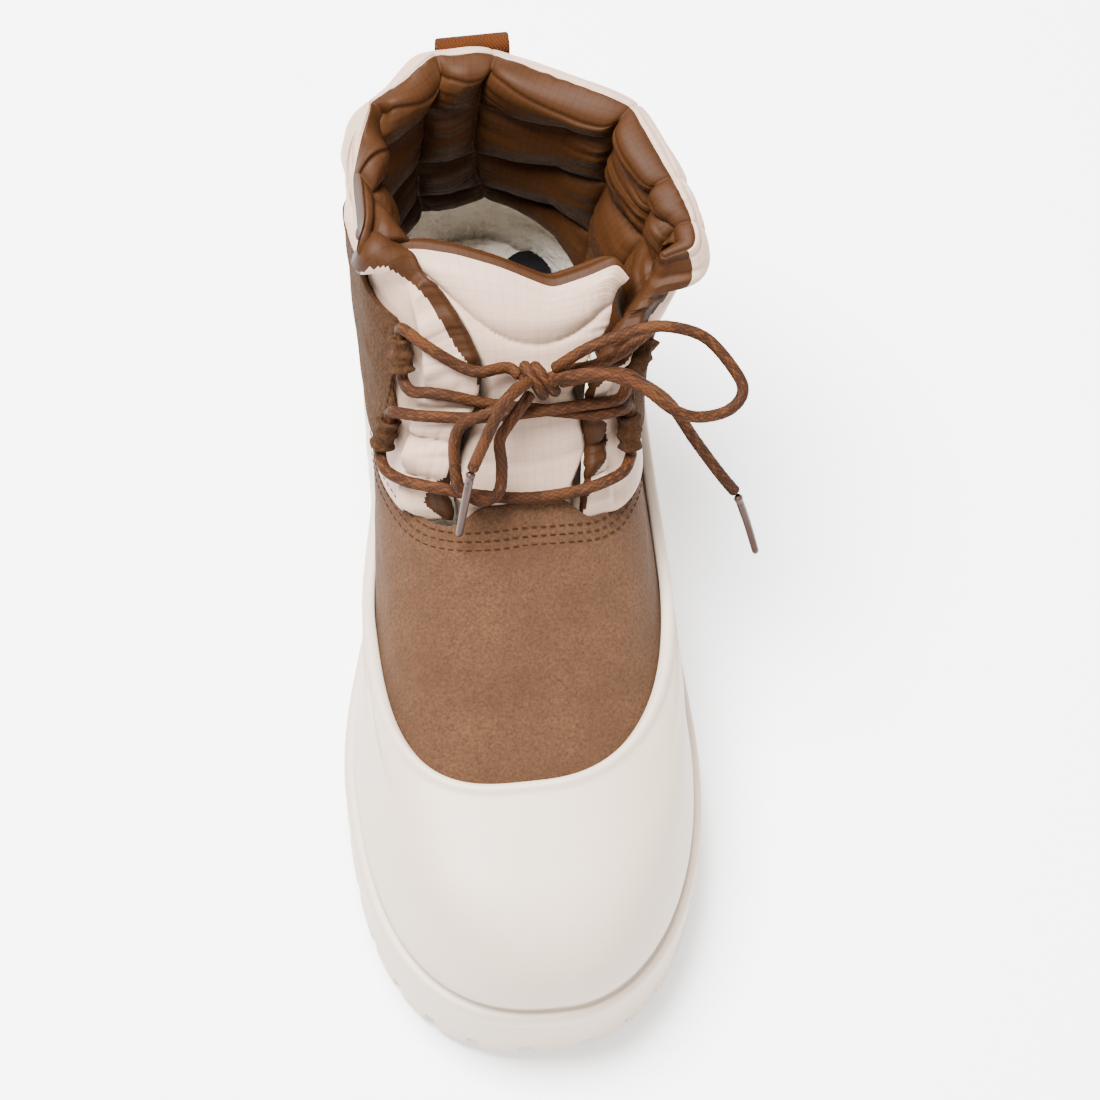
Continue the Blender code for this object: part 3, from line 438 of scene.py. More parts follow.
suede, suede_tree, suede_shader = finish_material("tan_suede", .97, Sheen_Weight=.04, Sheen_Roughness=.6,
                                                  Specular_IOR_Level=.2)
suede_shader.inputs["Sheen Tint"].default_value = (.80, .55, .36, 1)
grained(suede_tree, suede_shader, (.082, .0365, .0160), (.028, .0115, .0046), 48, 950, .55, .95, .8, .0006)
fleece, fleece_tree, fleece_shader = finish_material("cream_fleece", 1.0, Sheen_Weight=.5,
                                                     Specular_IOR_Level=.1)
grained(fleece_tree, fleece_shader, (.93, .85, .73), (.72, .62, .50), 120, 900, .4, .35, .9, .0012)

# The skin starts hidden behind the guard, and the fleece goes down to the insole
UPPER_COLUMNS, SKIN_LEVEL, FOOT_LEVEL = 640, 3.3, .75
upper_turns = np.arange(UPPER_COLUMNS) / UPPER_COLUMNS
upper_top = seam_level(upper_turns)
rows = []
for share in np.linspace(0, 1, 64):
    level = SKIN_LEVEL + (upper_top - SKIN_LEVEL) * share
    soft = (lattice_noise(upper_turns * 24, level * 3, 5) * .00035
            + lattice_noise(upper_turns * 64, level * 6, 6) * .00012)
    rows.append(layer(upper_turns, level, SUEDE_WALL + soft * smooth((level - 4.05) / .5)))
rows += [layer(upper_turns, upper_top, SUEDE_WALL * out, rise)
         for out, rise in ((.94, .0003), (.7, .00055), (.4, .00055), (.1, .0003), (0, 0))]
inside_from = len(rows) - 1
for share in np.linspace(.97, -.9, 60):
    level = np.maximum(SKIN_LEVEL + (upper_top - SKIN_LEVEL) * share, FOOT_LEVEL)
    pile = (np.abs(lattice_noise(upper_turns * 190, level * 9, 8)) * .0011
            + np.abs(lattice_noise(upper_turns * 90, level * 4, 9)) * .0009)
    rows.append(layer(upper_turns, level, -pile * (level > .8)))
rows += [layer(upper_turns, level, SUEDE_WALL) for level in (FOOT_LEVEL, 1.4, 2, 2.6, 3.1)]
inner_faces = (np.arange(len(rows)) >= inside_from) & (np.arange(len(rows)) < len(rows) - 6)
upper = grid_piece("suede_upper", np.array(rows), [suede, fleece], wrap_rows=True,
                   face_cloth=inner_faces[:, None] * 1)
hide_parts("upper")


def points_at(places, lengths, line):
    """Points of a line at given places along it, where its own points lie at the given lengths."""
    return np.stack([np.interp(places, lengths, line[:, axis]) for axis in range(3)], -1)


def sewn_rows(name, lines, thread, length=.0021, gap=.0011, width=.00044):
    """Short raised stitches along lines, each given as its points and their outward normals."""
    along = np.array((-.5, -.44, -.2, .2, .44, .5)) * length
    thick = np.array((.15, .75, 1, 1, .75, .15)) * width / 2
    angles = 2 * math.pi * np.arange(6) / 6
    points, faces = [], []
    for line, outward in lines:
        reach = arc_lengths(line, 0)
        for place in np.arange(length / 2, reach[-1], length + gap):
            centre = points_at(place, reach, line)
            ahead = unit(points_at(place + length / 2, reach, line) - centre)
            normal = points_at(place, reach, outward)
            side = unit(np.cross(normal, ahead))
            base = len(points)
            for step, radius in zip(along, thick):
                for angle in angles:
                    points.append(centre + ahead * step + side * radius * math.cos(angle)
                                  + normal * radius * .8 * math.sin(angle))
            faces += [(base + ring * 6 + corner, base + ring * 6 + (corner + 1) % 6,
                       base + ring * 6 + 6 + (corner + 1) % 6, base + ring * 6 + 6 + corner)
                      for ring in range(5) for corner in range(6)]
            faces += [tuple(base + corner for corner in range(6))[::-1],
                      tuple(base + 30 + corner for corner in range(6))]
    mesh = bpy.data.meshes.new(name)
    mesh.from_pydata([tuple(point) for point in points], [], faces)
    mesh.shade_smooth()
    mesh.materials.append(thread)
    body = bpy.data.objects.new(name, mesh)
    bpy.context.collection.objects.link(body)
    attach(body, "root")
    return body


thread, thread_tree, thread_shader = finish_material("brown_thread", .85, Specular_IOR_Level=.05)
grained(thread_tree, thread_shader, (.030, .012, .0045), (.016, .006, .002), 200, 4000, .4, .3, .3, .0001)
seam_turns = np.linspace(-.5, .5, 1500)
sewn_levels = sewn_level(seam_turns)
STITCH_ROWS, STITCH_PROUD = (0, .0030, .0060), .00050
seam_rows = [(layer(seam_turns, sewn_levels, SUEDE_WALL + STITCH_PROUD, -down),
              surface_frame(seam_turns, sewn_levels)[2]) for down in STITCH_ROWS]
seam_stitches = sewn_rows("upper_stitches", seam_rows, thread)


# Insole. The real footbed is foam covered with short curly cream fleece, cut to the last and laid
# loose on the floor of the outsole, with a plain black strap of webbing at the heel.
insole_turns = np.arange(360) / 360
side_ring = layer(insole_turns, .75, -.0005)
crown_ring = layer(insole_turns, 1.25, -.0026)
base_ring = plan_ring(insole_turns, -.0005)
middle = base_ring.copy()
middle[:, 0] = RINGS[0][6:8].mean() * BALL_WIDTH + PLACED[0]
middle[:, 1] = PLACED[1] + (last_surface(insole_turns, 0)[:, 1] - PLACED[1]) * .85
high = middle.copy()
high[:, 2] += .014
rows = [middle, middle + (base_ring - middle) * .5, base_ring, base_ring + (side_ring - base_ring) * .5,
        side_ring]
rows += [side_ring + (crown_ring - side_ring) * share + np.array((0, 0, .0008)) * math.sin(math.pi * share)
         for share in (.3, .6, .85)]
rows += [high + (crown_ring - high) * share for share in np.linspace(1, 0, 46)]
rows = np.array(rows)
pile = (np.abs(lattice_noise(rows[..., 0] / .0032, rows[..., 1] / .0032, 11)) * .0016
        + np.abs(lattice_noise(rows[..., 0] / .0014, rows[..., 1] / .0014, 12)) * .0008)
rows[6:, :, 2] += pile[6:]
insole = grid_piece("fleece_insole", rows, fleece)
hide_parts("insole")
STRAP_PLACE, STRAP_SIZE = (.0185, .1170), (.0165, .0400)
strap_cloth, strap_tree, strap_shader = finish_material("black_webbing", .8, Specular_IOR_Level=.2)
grained(strap_tree, strap_shader, (.006, .006, .0065), (.003, .003, .003), 160, 1600, .4, .4, .5, .0003)
crown_points = rows[6:].reshape(-1, 3)
strap_rows = []
for share in np.linspace(-.5, .5, 40):
    narrow = math.sqrt(max(.04, 1 - max(0, (share - .30) / .205) ** 2))
    line = np.stack([STRAP_PLACE[0] + np.linspace(-.5, .5, 24) * STRAP_SIZE[0] * narrow,
                     np.full(24, STRAP_PLACE[1] + share * STRAP_SIZE[1]), np.zeros(24)], -1)
    apart = np.linalg.norm(line[:, None, :2] - crown_points[None, :, :2], axis=-1)
    arch = .0030 * max(0, math.sin(math.pi * (share + .5) * 1.6))
    line[:, 2] = crown_points[apart.argmin(axis=1), 2].max() + .0018 + arch
    strap_rows.append(line)
strap_rows = np.concatenate([strap_rows, np.array(strap_rows)[::-1] - (0, 0, .0016)])
insole_strap = grid_piece("insole_strap", strap_rows, strap_cloth, wrap_columns=False, wrap_rows=True)


# Quilted shaft. The real collar is down-like filling between ripstop nylon outside and brown
# satin inside, sewn through in upright and level rows, its top edge turned and sewn in a taut line.
PUFF_OUT, PUFF_IN, WING_SEAT = 0.0065, 0.0085, 0.0030
TUNNEL_COLUMNS = ("side", "top_turn", "top_level", "end_turn", "end_level")
TUNNELS = ((-1, .094, 8.30, .097, 7.86), (-1, .122, 7.18, .134, 6.76),
           (1, .103, 7.98, .089, 7.62), (1, .092, 7.18, .096, 6.76))


def turn_at(x, level):
    """Signed turn near the front where the last reaches a given width at a level."""
    tries = np.linspace(-.25, .25, 401)
    return float(np.interp(x, last_surface(tries, level)[:, 0] - PLACED[0], tries))


throat_levels = np.linspace(6, 10, 81)
throat_starts = np.array([turn_at(throat("throat_out", level), level) for level in throat_levels])
throat_ends = 1 + np.array([turn_at(-throat("throat_in", level), level) for level in throat_levels])


def collar_turn(share, level):
    start = np.interp(level, throat_levels, throat_starts)
    return start + (np.interp(level, throat_levels, throat_ends) - start) * share


def wing_front(side, level):
    """Turn of a suede wing's front edge, which runs along its two lace tunnels."""
    known = sorted(pair for row in TUNNELS if row[0] == side for pair in ((row[2], row[1]), (row[4], row[3])))
    return np.interp(level, [pair[0] for pair in known], [pair[1] for pair in known])


def wing_edges(turn):
    return (np.interp(turn, (.08, .14, .30, .50), (6.68, 6.60, 6.35, 6.30)),
            np.interp(turn, (.08, .20, .35, .50), (8.42, 8.75, 8.10, 7.70)))


def wing_cover(turn, level):
    """1 where a suede wing presses the quilting flat, 0 away from it."""
    signed = np.where(turn > .5, turn - 1, turn)
    front = np.where(signed > 0, wing_front(1, level), wing_front(-1, level))
    across = smooth((np.abs(signed) - front + .026) / .012)
    return across * smooth((wing_edges(np.abs(signed))[1] + 1.0 - level) / .35)


def puff(distance, width):
    """Swell of a filled channel: steep at the sewn line, full at a width from it."""
    near = np.clip(distance / width, 0, 1)
    return np.sqrt(np.clip(1 - (1 - near) ** 2, 0, 1))


def creases(along, distance, seed, size, reach):
    """Creases that run square off a sewn line and fade with distance from it."""
    folds = np.abs(lattice_noise(along / size, distance / (size * 6), seed)) * 1.6 - .45
    finer = np.abs(lattice_noise(along / size * 2.3, distance / (size * 4), seed + 1)) * 1.6 - .45
    return (folds + .5 * finer) * np.exp(-distance / reach)


thread_grid, thread_in, thread_out = new_group("ripstop_threads", [("Pitch", .003), ("Line", .12)],
                                               [("Lines", "NodeSocketFloat"), ("Weave", "NodeSocketFloat")])
cloth_place = node(thread_grid, "UVMap", uv_map="metres").outputs[0]
split = node(thread_grid, "SeparateXYZ", {0: cloth_place})
lines = []
for axis in (0, 1):
    turned = maths(thread_grid, "FRACT",
                   maths(thread_grid, "DIVIDE", split.outputs[axis], thread_in.outputs["Pitch"]))
    lines.append(maths(thread_grid, "LESS_THAN", turned, thread_in.outputs["Line"]))
thread_grid.links.new(maths(thread_grid, "MAXIMUM", *lines), thread_out.inputs["Lines"])
fine = [maths(thread_grid, "SINE", maths(thread_grid, "MULTIPLY", split.outputs[axis], 14000.0))
        for axis in (0, 1)]
thread_grid.links.new(maths(thread_grid, "MULTIPLY", *fine), thread_out.inputs["Weave"])


def woven(tree, shader, colour, shade, cloud, bump, pitch, line_height, weave_height):
    """Cloudy cloth with raised ripstop lines over a fine plain weave."""
    use = grained(tree, shader, colour, shade, 22, 700, cloud, .12)
    cloth = tree.nodes.new("ShaderNodeGroup")
    cloth.node_tree = thread_grid
    cloth.inputs["Pitch"].default_value = pitch
    height = maths(tree, "ADD", maths(tree, "MULTIPLY", cloth.outputs["Lines"], line_height),
                   maths(tree, "MULTIPLY", cloth.outputs["Weave"], weave_height))
    height = maths(tree, "ADD", height, use.outputs["Height"])
    relief = node(tree, "Bump", {"Strength": bump, "Distance": .0003, "Height": height})
    tree.links.new(relief.outputs[0], shader.inputs["Normal"])
    line_share = maths(tree, "MULTIPLY", cloth.outputs["Lines"], .40)
    painted = blend_colours(tree, line_share, use.outputs["Colour"], (*shade, 1))
    tree.links.new(painted, shader.inputs["Base Color"])


ripstop, ripstop_tree, ripstop_shader = finish_material(
    "ripstop_nylon", .55, Sheen_Weight=.06, Sheen_Roughness=.4, Specular_IOR_Level=.35)
woven(ripstop_tree, ripstop_shader, (.405, .272, .197), (.31, .20, .14), .35, .35, .0034, 1.6, .12)
satin, satin_tree, satin_shader = finish_material("brown_satin", .55, Specular_IOR_Level=.09)
woven(satin_tree, satin_shader, (.036, .0128, .0036), (.017, .0060, .0017), .5, .25, .0030, .15, .15)

# The crest of the collar, where ripstop and satin meet: share of the way round, and its place
CREST = np.array((
    (0, .0540, .0570, .1645), (.035, .0612, .0592, .1668), (.075, .0614, .0665, .1685),
    (.19, .0573, .0825, .1703), (.30, .0482, .1100, .1713), (.49, .0065, .1355, .1718),
    (.57, -.0121, .1369, .1718), (.73, -.0357, .1234, .1713), (.87, -.0453, .0972, .1700),
    (.965, -.0477, .0717, .1672), (1, -.0440, .0690, .1648)))
CREST_SEAMS = CREST[2:-2, 0]
# The front edges of the two lapels: share of the height, and place
LAPEL_OUTER = np.array((
    (0, .0200, -.0010, .1010), (.09, .0210, .0095, .1080), (.16, .0212, .0159, .1120),
    (.24, .0232, .0222, .1170), (.30, .0228, .0262, .1235), (.38, .0232, .0315, .1310),
    (.46, .0275, .0385, .1368), (.54, .0325, .0433, .1405), (.62, .0365, .0478, .1445),
    (.72, .0415, .0525, .1475), (.82, .0465, .0570, .1520), (.91, .0505, .0600, .1585),
    (1, .0524, .0603, .1645)))
LAPEL_INNER = np.array((
    (0, -.0265, .0038, .1015), (.10, -.0262, .0128, .1081), (.18, -.0236, .0196, .1163),
    (.24, -.0222, .0243, .1229), (.30, -.0195, .0270, .1265), (.38, -.0150, .0320, .1324),
    (.43, -.0140, .0385, .1400), (.50, -.0155, .0441, .1448), (.58, -.0178, .0500, .1496),
    (.66, -.0212, .0555, .1540), (.74, -.0255, .0612, .1582), (.84, -.0325, .0680, .1625),
    (.92, -.0390, .0722, .1636), (1, -.0440, .0740, .1642)))
# How far the satin turns out round each front edge: share of the height, and metres
TURNED_OUTER = np.array((
    (0, 0), (.10, .001), (.15, .0040), (.20, .0058), (.26, .0045), (.32, .0008), (.40, .001),
    (.50, .005), (.75, .007), (1, .007)))
TURNED_INNER = np.array((
    (0, .002), (.05, .0045), (.10, .0030), (.14, .0005), (.40, 0), (.45, .001), (.55, .0025),
    (.72, .0035), (.82, .006), (.90, .010), (1, .014)))
OUTER_SEAMS, INNER_SEAMS = (.12, .235, .375), (-.10, .16, .44, .74)
COLLAR_COLUMNS, COLLAR_ROWS = 521, 150
collar_places = np.linspace(0, 1, COLLAR_COLUMNS)
heights = np.linspace(0, 1, COLLAR_ROWS)
near_end = smooth(1 - np.minimum(collar_places, 1 - collar_places) / .05)
bottom = SEAM_LEVEL + .02 + np.where(collar_places > .5, .17, .06) * near_end
girth = np.linalg.norm(np.diff(last_surface(collar_turn(collar_places, 9.0), 9.0), axis=0), axis=1).sum()
around = collar_places * girth
tall = np.linalg.norm(last_surface(collar_turn(collar_places, 10.0), 10.0)
                      - last_surface(collar_turn(collar_places, bottom), bottom), axis=1)
seam_gap = np.abs(collar_places[:, None] - CREST_SEAMS[None]).min(axis=1) * girth
front_gap = np.minimum(collar_places, 1 - collar_places) * girth
crest = softened(points_at(collar_places, CREST[:, 0], CREST[:, 1:]) + PLACED, 6)
reach_to_crest = crest - last_surface(collar_turn(collar_places, 10.0), 10.0)


def levelled(vectors, window):
    """Vectors averaged along the columns, so that offsets of a sharp bend don't cross."""
    padded = np.pad(vectors, ((window, window), (0, 0)), mode="edge")
    kernel = np.hanning(2 * window + 3)[1:-1]
    kernel = kernel / kernel.sum()
    return unit(np.stack([np.convolve(padded[:, axis], kernel, mode="valid") for axis in range(3)], -1))


filling = np.array([last_surface(collar_turn(collar_places, bottom + (TOP_LEVEL - bottom) * share),
                                 bottom + (TOP_LEVEL - bottom) * share)
                    + reach_to_crest * float(smooth((share - .30) / .70)) for share in heights])
moved = np.zeros_like(filling)
for column, gap, table in ((0, collar_places * girth, LAPEL_OUTER),
                           (-1, (1 - collar_places) * girth, LAPEL_INNER)):
    edge_line = softened(points_at(heights, table[:, 0], table[:, 1:]), 5)
    moved += smooth(1 - gap / .045)[None, :, None] * (edge_line - filling[:, column])[:, None]
filling = filling + moved
slid = (moved * unit(np.gradient(filling, axis=1))).sum(axis=-1)
normals = unit(np.cross(np.gradient(filling, axis=1), np.gradient(filling, axis=0)))
for _ in range(10):
    normals[1:-1] = normals[:-2] + normals[1:-1] * 2 + normals[2:]
    normals = unit(normals)
slope = .24 * smooth((.46 - collar_places) / .42) + .20 * smooth((collar_places - .62) / .36)


def quilted(share, seams, depth, pinch, width, seed, crease):
    """Distance of the cloth off the middle of the filling, at a share of the collar's height."""
    inside = seams is INNER_SEAMS
    here = share - slope * inside + .02 * np.sin(collar_places * 23 + seed)
    level_gap = np.minimum.reduce([np.abs(here - seam) * tall for seam in seams])
    upright = puff(seam_gap, width)
    swell = (upright if inside else .70 + .30 * upright) * puff(level_gap, width)
    swell = swell * puff(share * tall + .0005, width * .8)
    folds = (creases(share * tall, seam_gap, seed, .0062, .012) * (1 if inside else .4)
             + creases(around, level_gap, seed + 7, .0070 + .009 * inside, .012)
             + creases(share * tall, front_gap, seed + 13, .0070, .012))
    thin = (.40 + .60 * smooth(front_gap / .013)) * (1 - .75 * smooth(1 - share * tall / .004) * (not inside))
    return depth * thin * (pinch + (1 - pinch) * swell + crease * folds * np.clip(swell * 2, 0, 1))


outer_rows, inner_rows = [], []
for share, base, normal, slide in zip(heights, filling, normals, slid):
    level = bottom + (TOP_LEVEL - bottom) * share
    turn = collar_turn(collar_places, level)
    normal = levelled(normal, 16)
    pace = np.linalg.norm(last_surface(turn + .001, level) - last_surface(turn - .001, level), axis=-1) / .002
    covered = wing_cover(turn + slide / pace, level)
    mid_height = float(smooth(share / .12) * smooth((1 - share) / .15))
    proud = .0040 * (1 - covered) * smooth(1 - front_gap / .022) * mid_height
    out = quilted(share, OUTER_SEAMS, PUFF_OUT * 1.3, .12, .012, 21, .26)
    out = out * (.70 + .30 * puff((1 - share) * tall, .010))
    out = out * (1 - .38 * float(smooth((share - .45) / .25)) * smooth((collar_places - .55) / .12)
                 * smooth((.90 - collar_places) / .06))
    out = out + (WING_SEAT - out) * covered * smooth((front_gap - .002) / .006)
    into = quilted(share, INNER_SEAMS, PUFF_IN * 1.25, .26, .017, 41, .10)
    into = into * (.75 + .25 * puff((1 - share) * tall, .014))
    outer_rows.append(base + normal * (out + proud)[:, None])
    inner_rows.append(base - normal * (into - proud)[:, None])
outer_rows, inner_rows = np.array(outer_rows), np.array(inner_rows)
rim_out, rim_in = outer_rows[-1], inner_rows[-1]
ruffle = lattice_noise(around / .0030, around * 0, 61) * .0004
rise = (.0042 * (.45 + .55 * puff(seam_gap, .012)))[:, None] * np.array((0, 0, 1))
rim_rows, rim_cloth = [], []
for angle in np.linspace(0, math.pi, 30)[1:-1]:
    dip = .0012 * math.exp(-((angle - .95) / .09) ** 2)
    span = (rim_out - rim_in) / 2
    rim_rows.append((rim_out + rim_in) / 2 + span * math.cos(angle) + rise * math.sin(angle) ** .8
                    - (dip - ruffle * math.exp(-((angle - .95) / .3) ** 2))[:, None] * np.array((0, 0, 1)))
    rim_cloth.append(0 if angle < .95 else 1)
sections = np.concatenate([outer_rows, rim_rows, inner_rows[::-1]])
# Rounded ends: at each lapel's edge the two skins curl together to their middle line
partner = sections[::-1]
capped = [sections]
for column, order in ((0, -1), (-1, 1)):
    mid = (sections[:, column] + partner[:, column]) / 2
    half = sections[:, column] - mid
    bulge = np.linalg.norm(half, axis=1, keepdims=True)
    ahead = unit(sections[:, column] - sections[:, column - order * 3]) * bulge
    cap = np.stack([mid + half * math.cos(a) + (ahead + ahead[::-1]) / 2 * math.sin(a) * .8
                    for a in np.linspace(0, math.pi / 2, 9)[1:]], axis=1)
    capped = [cap[:, ::-1]] + capped if order < 0 else capped + [cap]
sections = np.concatenate(capped, axis=1)
cloth_rows = np.array([0] * len(outer_rows) + rim_cloth + [1] * len(inner_rows))
cloths = np.repeat(cloth_rows[:, None], sections.shape[1] - 1, axis=1)
step_wide = girth / (len(collar_places) - 1)
for row in range(len(cloth_rows)):
    share = min(row / len(outer_rows), 1)
    for side_columns, turned in ((slice(None), TURNED_OUTER), (slice(None, None, -1), TURNED_INNER)):
        back = float(np.interp(share, turned[:, 0], turned[:, 1]))
        cloths[row, side_columns][:3 + round(5 * min(back / .002, 1)) + round(back / step_wide)] = 1
collar = grid_piece("quilted_collar", sections, [ripstop, satin], wrap_columns=False, wrap_rows=True,
                    face_cloth=cloths)
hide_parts("collar")


# Tongue. The real one is a padded flap of the same ripstop over brown satin, sewn across in level
# rows, that stands out of the throat in two soft horns.
TONGUE_SEAMS = ((6.95, .5), (7.58, .8), (8.19, 7.7))
LAPEL_RIM = np.array((
    (6.0, .195, .245), (6.6, .215, .250), (6.95, .275, .222), (7.25, .260, .185), (7.55, .235, .122),
    (7.8, .285, .120), (8.0, .327, .135), (8.2, .370, .155), (8.45, .430, .180), (8.7, .52, .213),
    (9.0, .57, .258), (10, .60, .40)))
TONGUE_TOP = np.array((
    (-1, -.0388, .0722, .1625), (-.86, -.0350, .0733, .1645), (-.66, -.0250, .0722, .1645),
    (-.38, -.0145, .0692, .1638), (-.04, -.0012, .0644, .1615), (.38, .0162, .0567, .1565),
    (.68, .0293, .0588, .1590), (.90, .0388, .0612, .1612), (1, .0425, .0575, .1560)))
across = np.sin(np.linspace(-math.pi / 2, math.pi / 2, 181)) * .35 + np.linspace(-1, 1, 181) * .65
top_line = softened(points_at(across, TONGUE_TOP[:, 0], TONGUE_TOP[:, 1:]) + PLACED, 30)
tries = np.linspace(-.27, .27, 541)
fronts, backs = [], []
for level in np.linspace(6.10, 10.0, 130):
    wide = np.where(across > 0, throat("tongue_out", level), throat("tongue_in", level))
    x = across * wide
    rim_outer, rim_inner = (np.interp(level, LAPEL_RIM[:, 0], LAPEL_RIM[:, column]) for column in (1, 2))
    rim = np.where(x > 0, rim_outer, rim_inner) * BALL_WIDTH
    under = smooth((np.abs(x) - rim + .006) / .007) * smooth((9.2 - level) / .7)
    step = float(np.linalg.norm(last_surface(0, level + .01) - last_surface(0, level - .01))) / .02
    seam_gaps = [np.abs(level - seam - bow * (x / BALL_WIDTH - .11) ** 2) for seam, bow in TONGUE_SEAMS]
    seam_here = np.min(seam_gaps, axis=0) * step
    side_gap = (1 - np.abs(across)) * wide
    top_gap = (TOP_LEVEL - level) * step * 1.6
    swell = puff(seam_here, .012) * puff(side_gap + .0006, .010) * puff(top_gap + .0002, .012)
    folds = (creases(x, seam_here, 71, .0064, .008)
             + creases(np.full_like(x, level * step), side_gap, 75, .0066, .008))
    body = np.where(level > SEAM_LEVEL + .44, 1, 0)
    crown = (.0016 + .0042 * smooth((level - 7.9) / .7)) * body - CLEARANCE * 2 * (1 - body)
    crown = crown * (.25 + .75 * swell) + .0006 * folds * swell * body
    out = crown + (-.0092 - crown) * under
    thick = (.009 + .004 * smooth((level - 8.0) / .8)) * (.30 + .70 * swell) * (1 - .45 * under) * np.sqrt(
        np.clip(1.01 - across ** 10, .03, 1))
    turn = np.interp(x, last_surface(tries, level)[:, 0] - PLACED[0], tries)
    normal = levelled(surface_frame(turn, level)[2], 14)
    lean = (top_line - last_surface(np.interp(across * np.where(across > 0, throat("tongue_out", 10.0),
            throat("tongue_in", 10.0)), last_surface(tries, 10.0)[:, 0] - PLACED[0], tries), 10.0))
    base = last_surface(turn, level) + lean * float(smooth((level - 7.9) / 2.1))
    fronts.append(base + normal * out[:, None])
    backs.append(base + normal * (out - thick - .0008 * np.abs(folds) * swell)[:, None])
fronts, backs = np.array(fronts), np.array(backs)
middle_top = (fronts[-1] + backs[-1]) / 2 + np.array((0, 0, .0016))
over_top = [fronts[-1] * .55 + middle_top * .45 + np.array((0, 0, .0006)), middle_top,
            backs[-1] * .5 + middle_top * .5 + np.array((0, 0, .0004))]
tongue_rows = np.concatenate([fronts, over_top, backs[::-1]])
tongue_cloth = (np.arange(len(tongue_rows)) >= len(fronts) - 3) * 1
tongue = grid_piece("padded_tongue", tongue_rows, [ripstop, satin], wrap_columns=False, wrap_rows=True,
                    face_cloth=tongue_cloth[:, None])
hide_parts("tongue")


# Suede wings. Each real wing is a soft saddle of suede that runs back to a seam at the heel, its
# front edge cut in two lobes, folded over and sewn down as a tunnel that the lace slides through.
WING_WALL, LACE_RADIUS, TUNNEL_WALL, TUNNEL_CLEARANCE = 0.0018, 0.0020, 0.0015, 0.0007
WING_LIFT = WING_SEAT + CLEARANCE * 3
WING_ROWS = np.array(((0, .012), (.12, 0), (.30, 0), (.44, .014), (.56, .014), (.70, 0), (.88, 0), (1, .010)))
TUNNEL_HEIGHT = WING_LIFT + LACE_RADIUS + TUNNEL_CLEARANCE + TUNNEL_WALL
ROWS_UP, COLUMNS_BACK = 74, 260
wing_stitch_lines = []


def tunnel_ends(tunnel):
    return layer(np.array((tunnel["top_turn"], tunnel["end_turn"])) * tunnel["side"],
                 np.array((tunnel["top_level"], tunnel["end_level"])), TUNNEL_HEIGHT)


def scallop(share):
    """The lobed front edge, as a smooth curve through its named rows."""
    places = np.linspace(0, 1, 200)
    return np.interp(share, places, softened(np.interp(places, WING_ROWS[:, 0], WING_ROWS[:, 1]), 14))


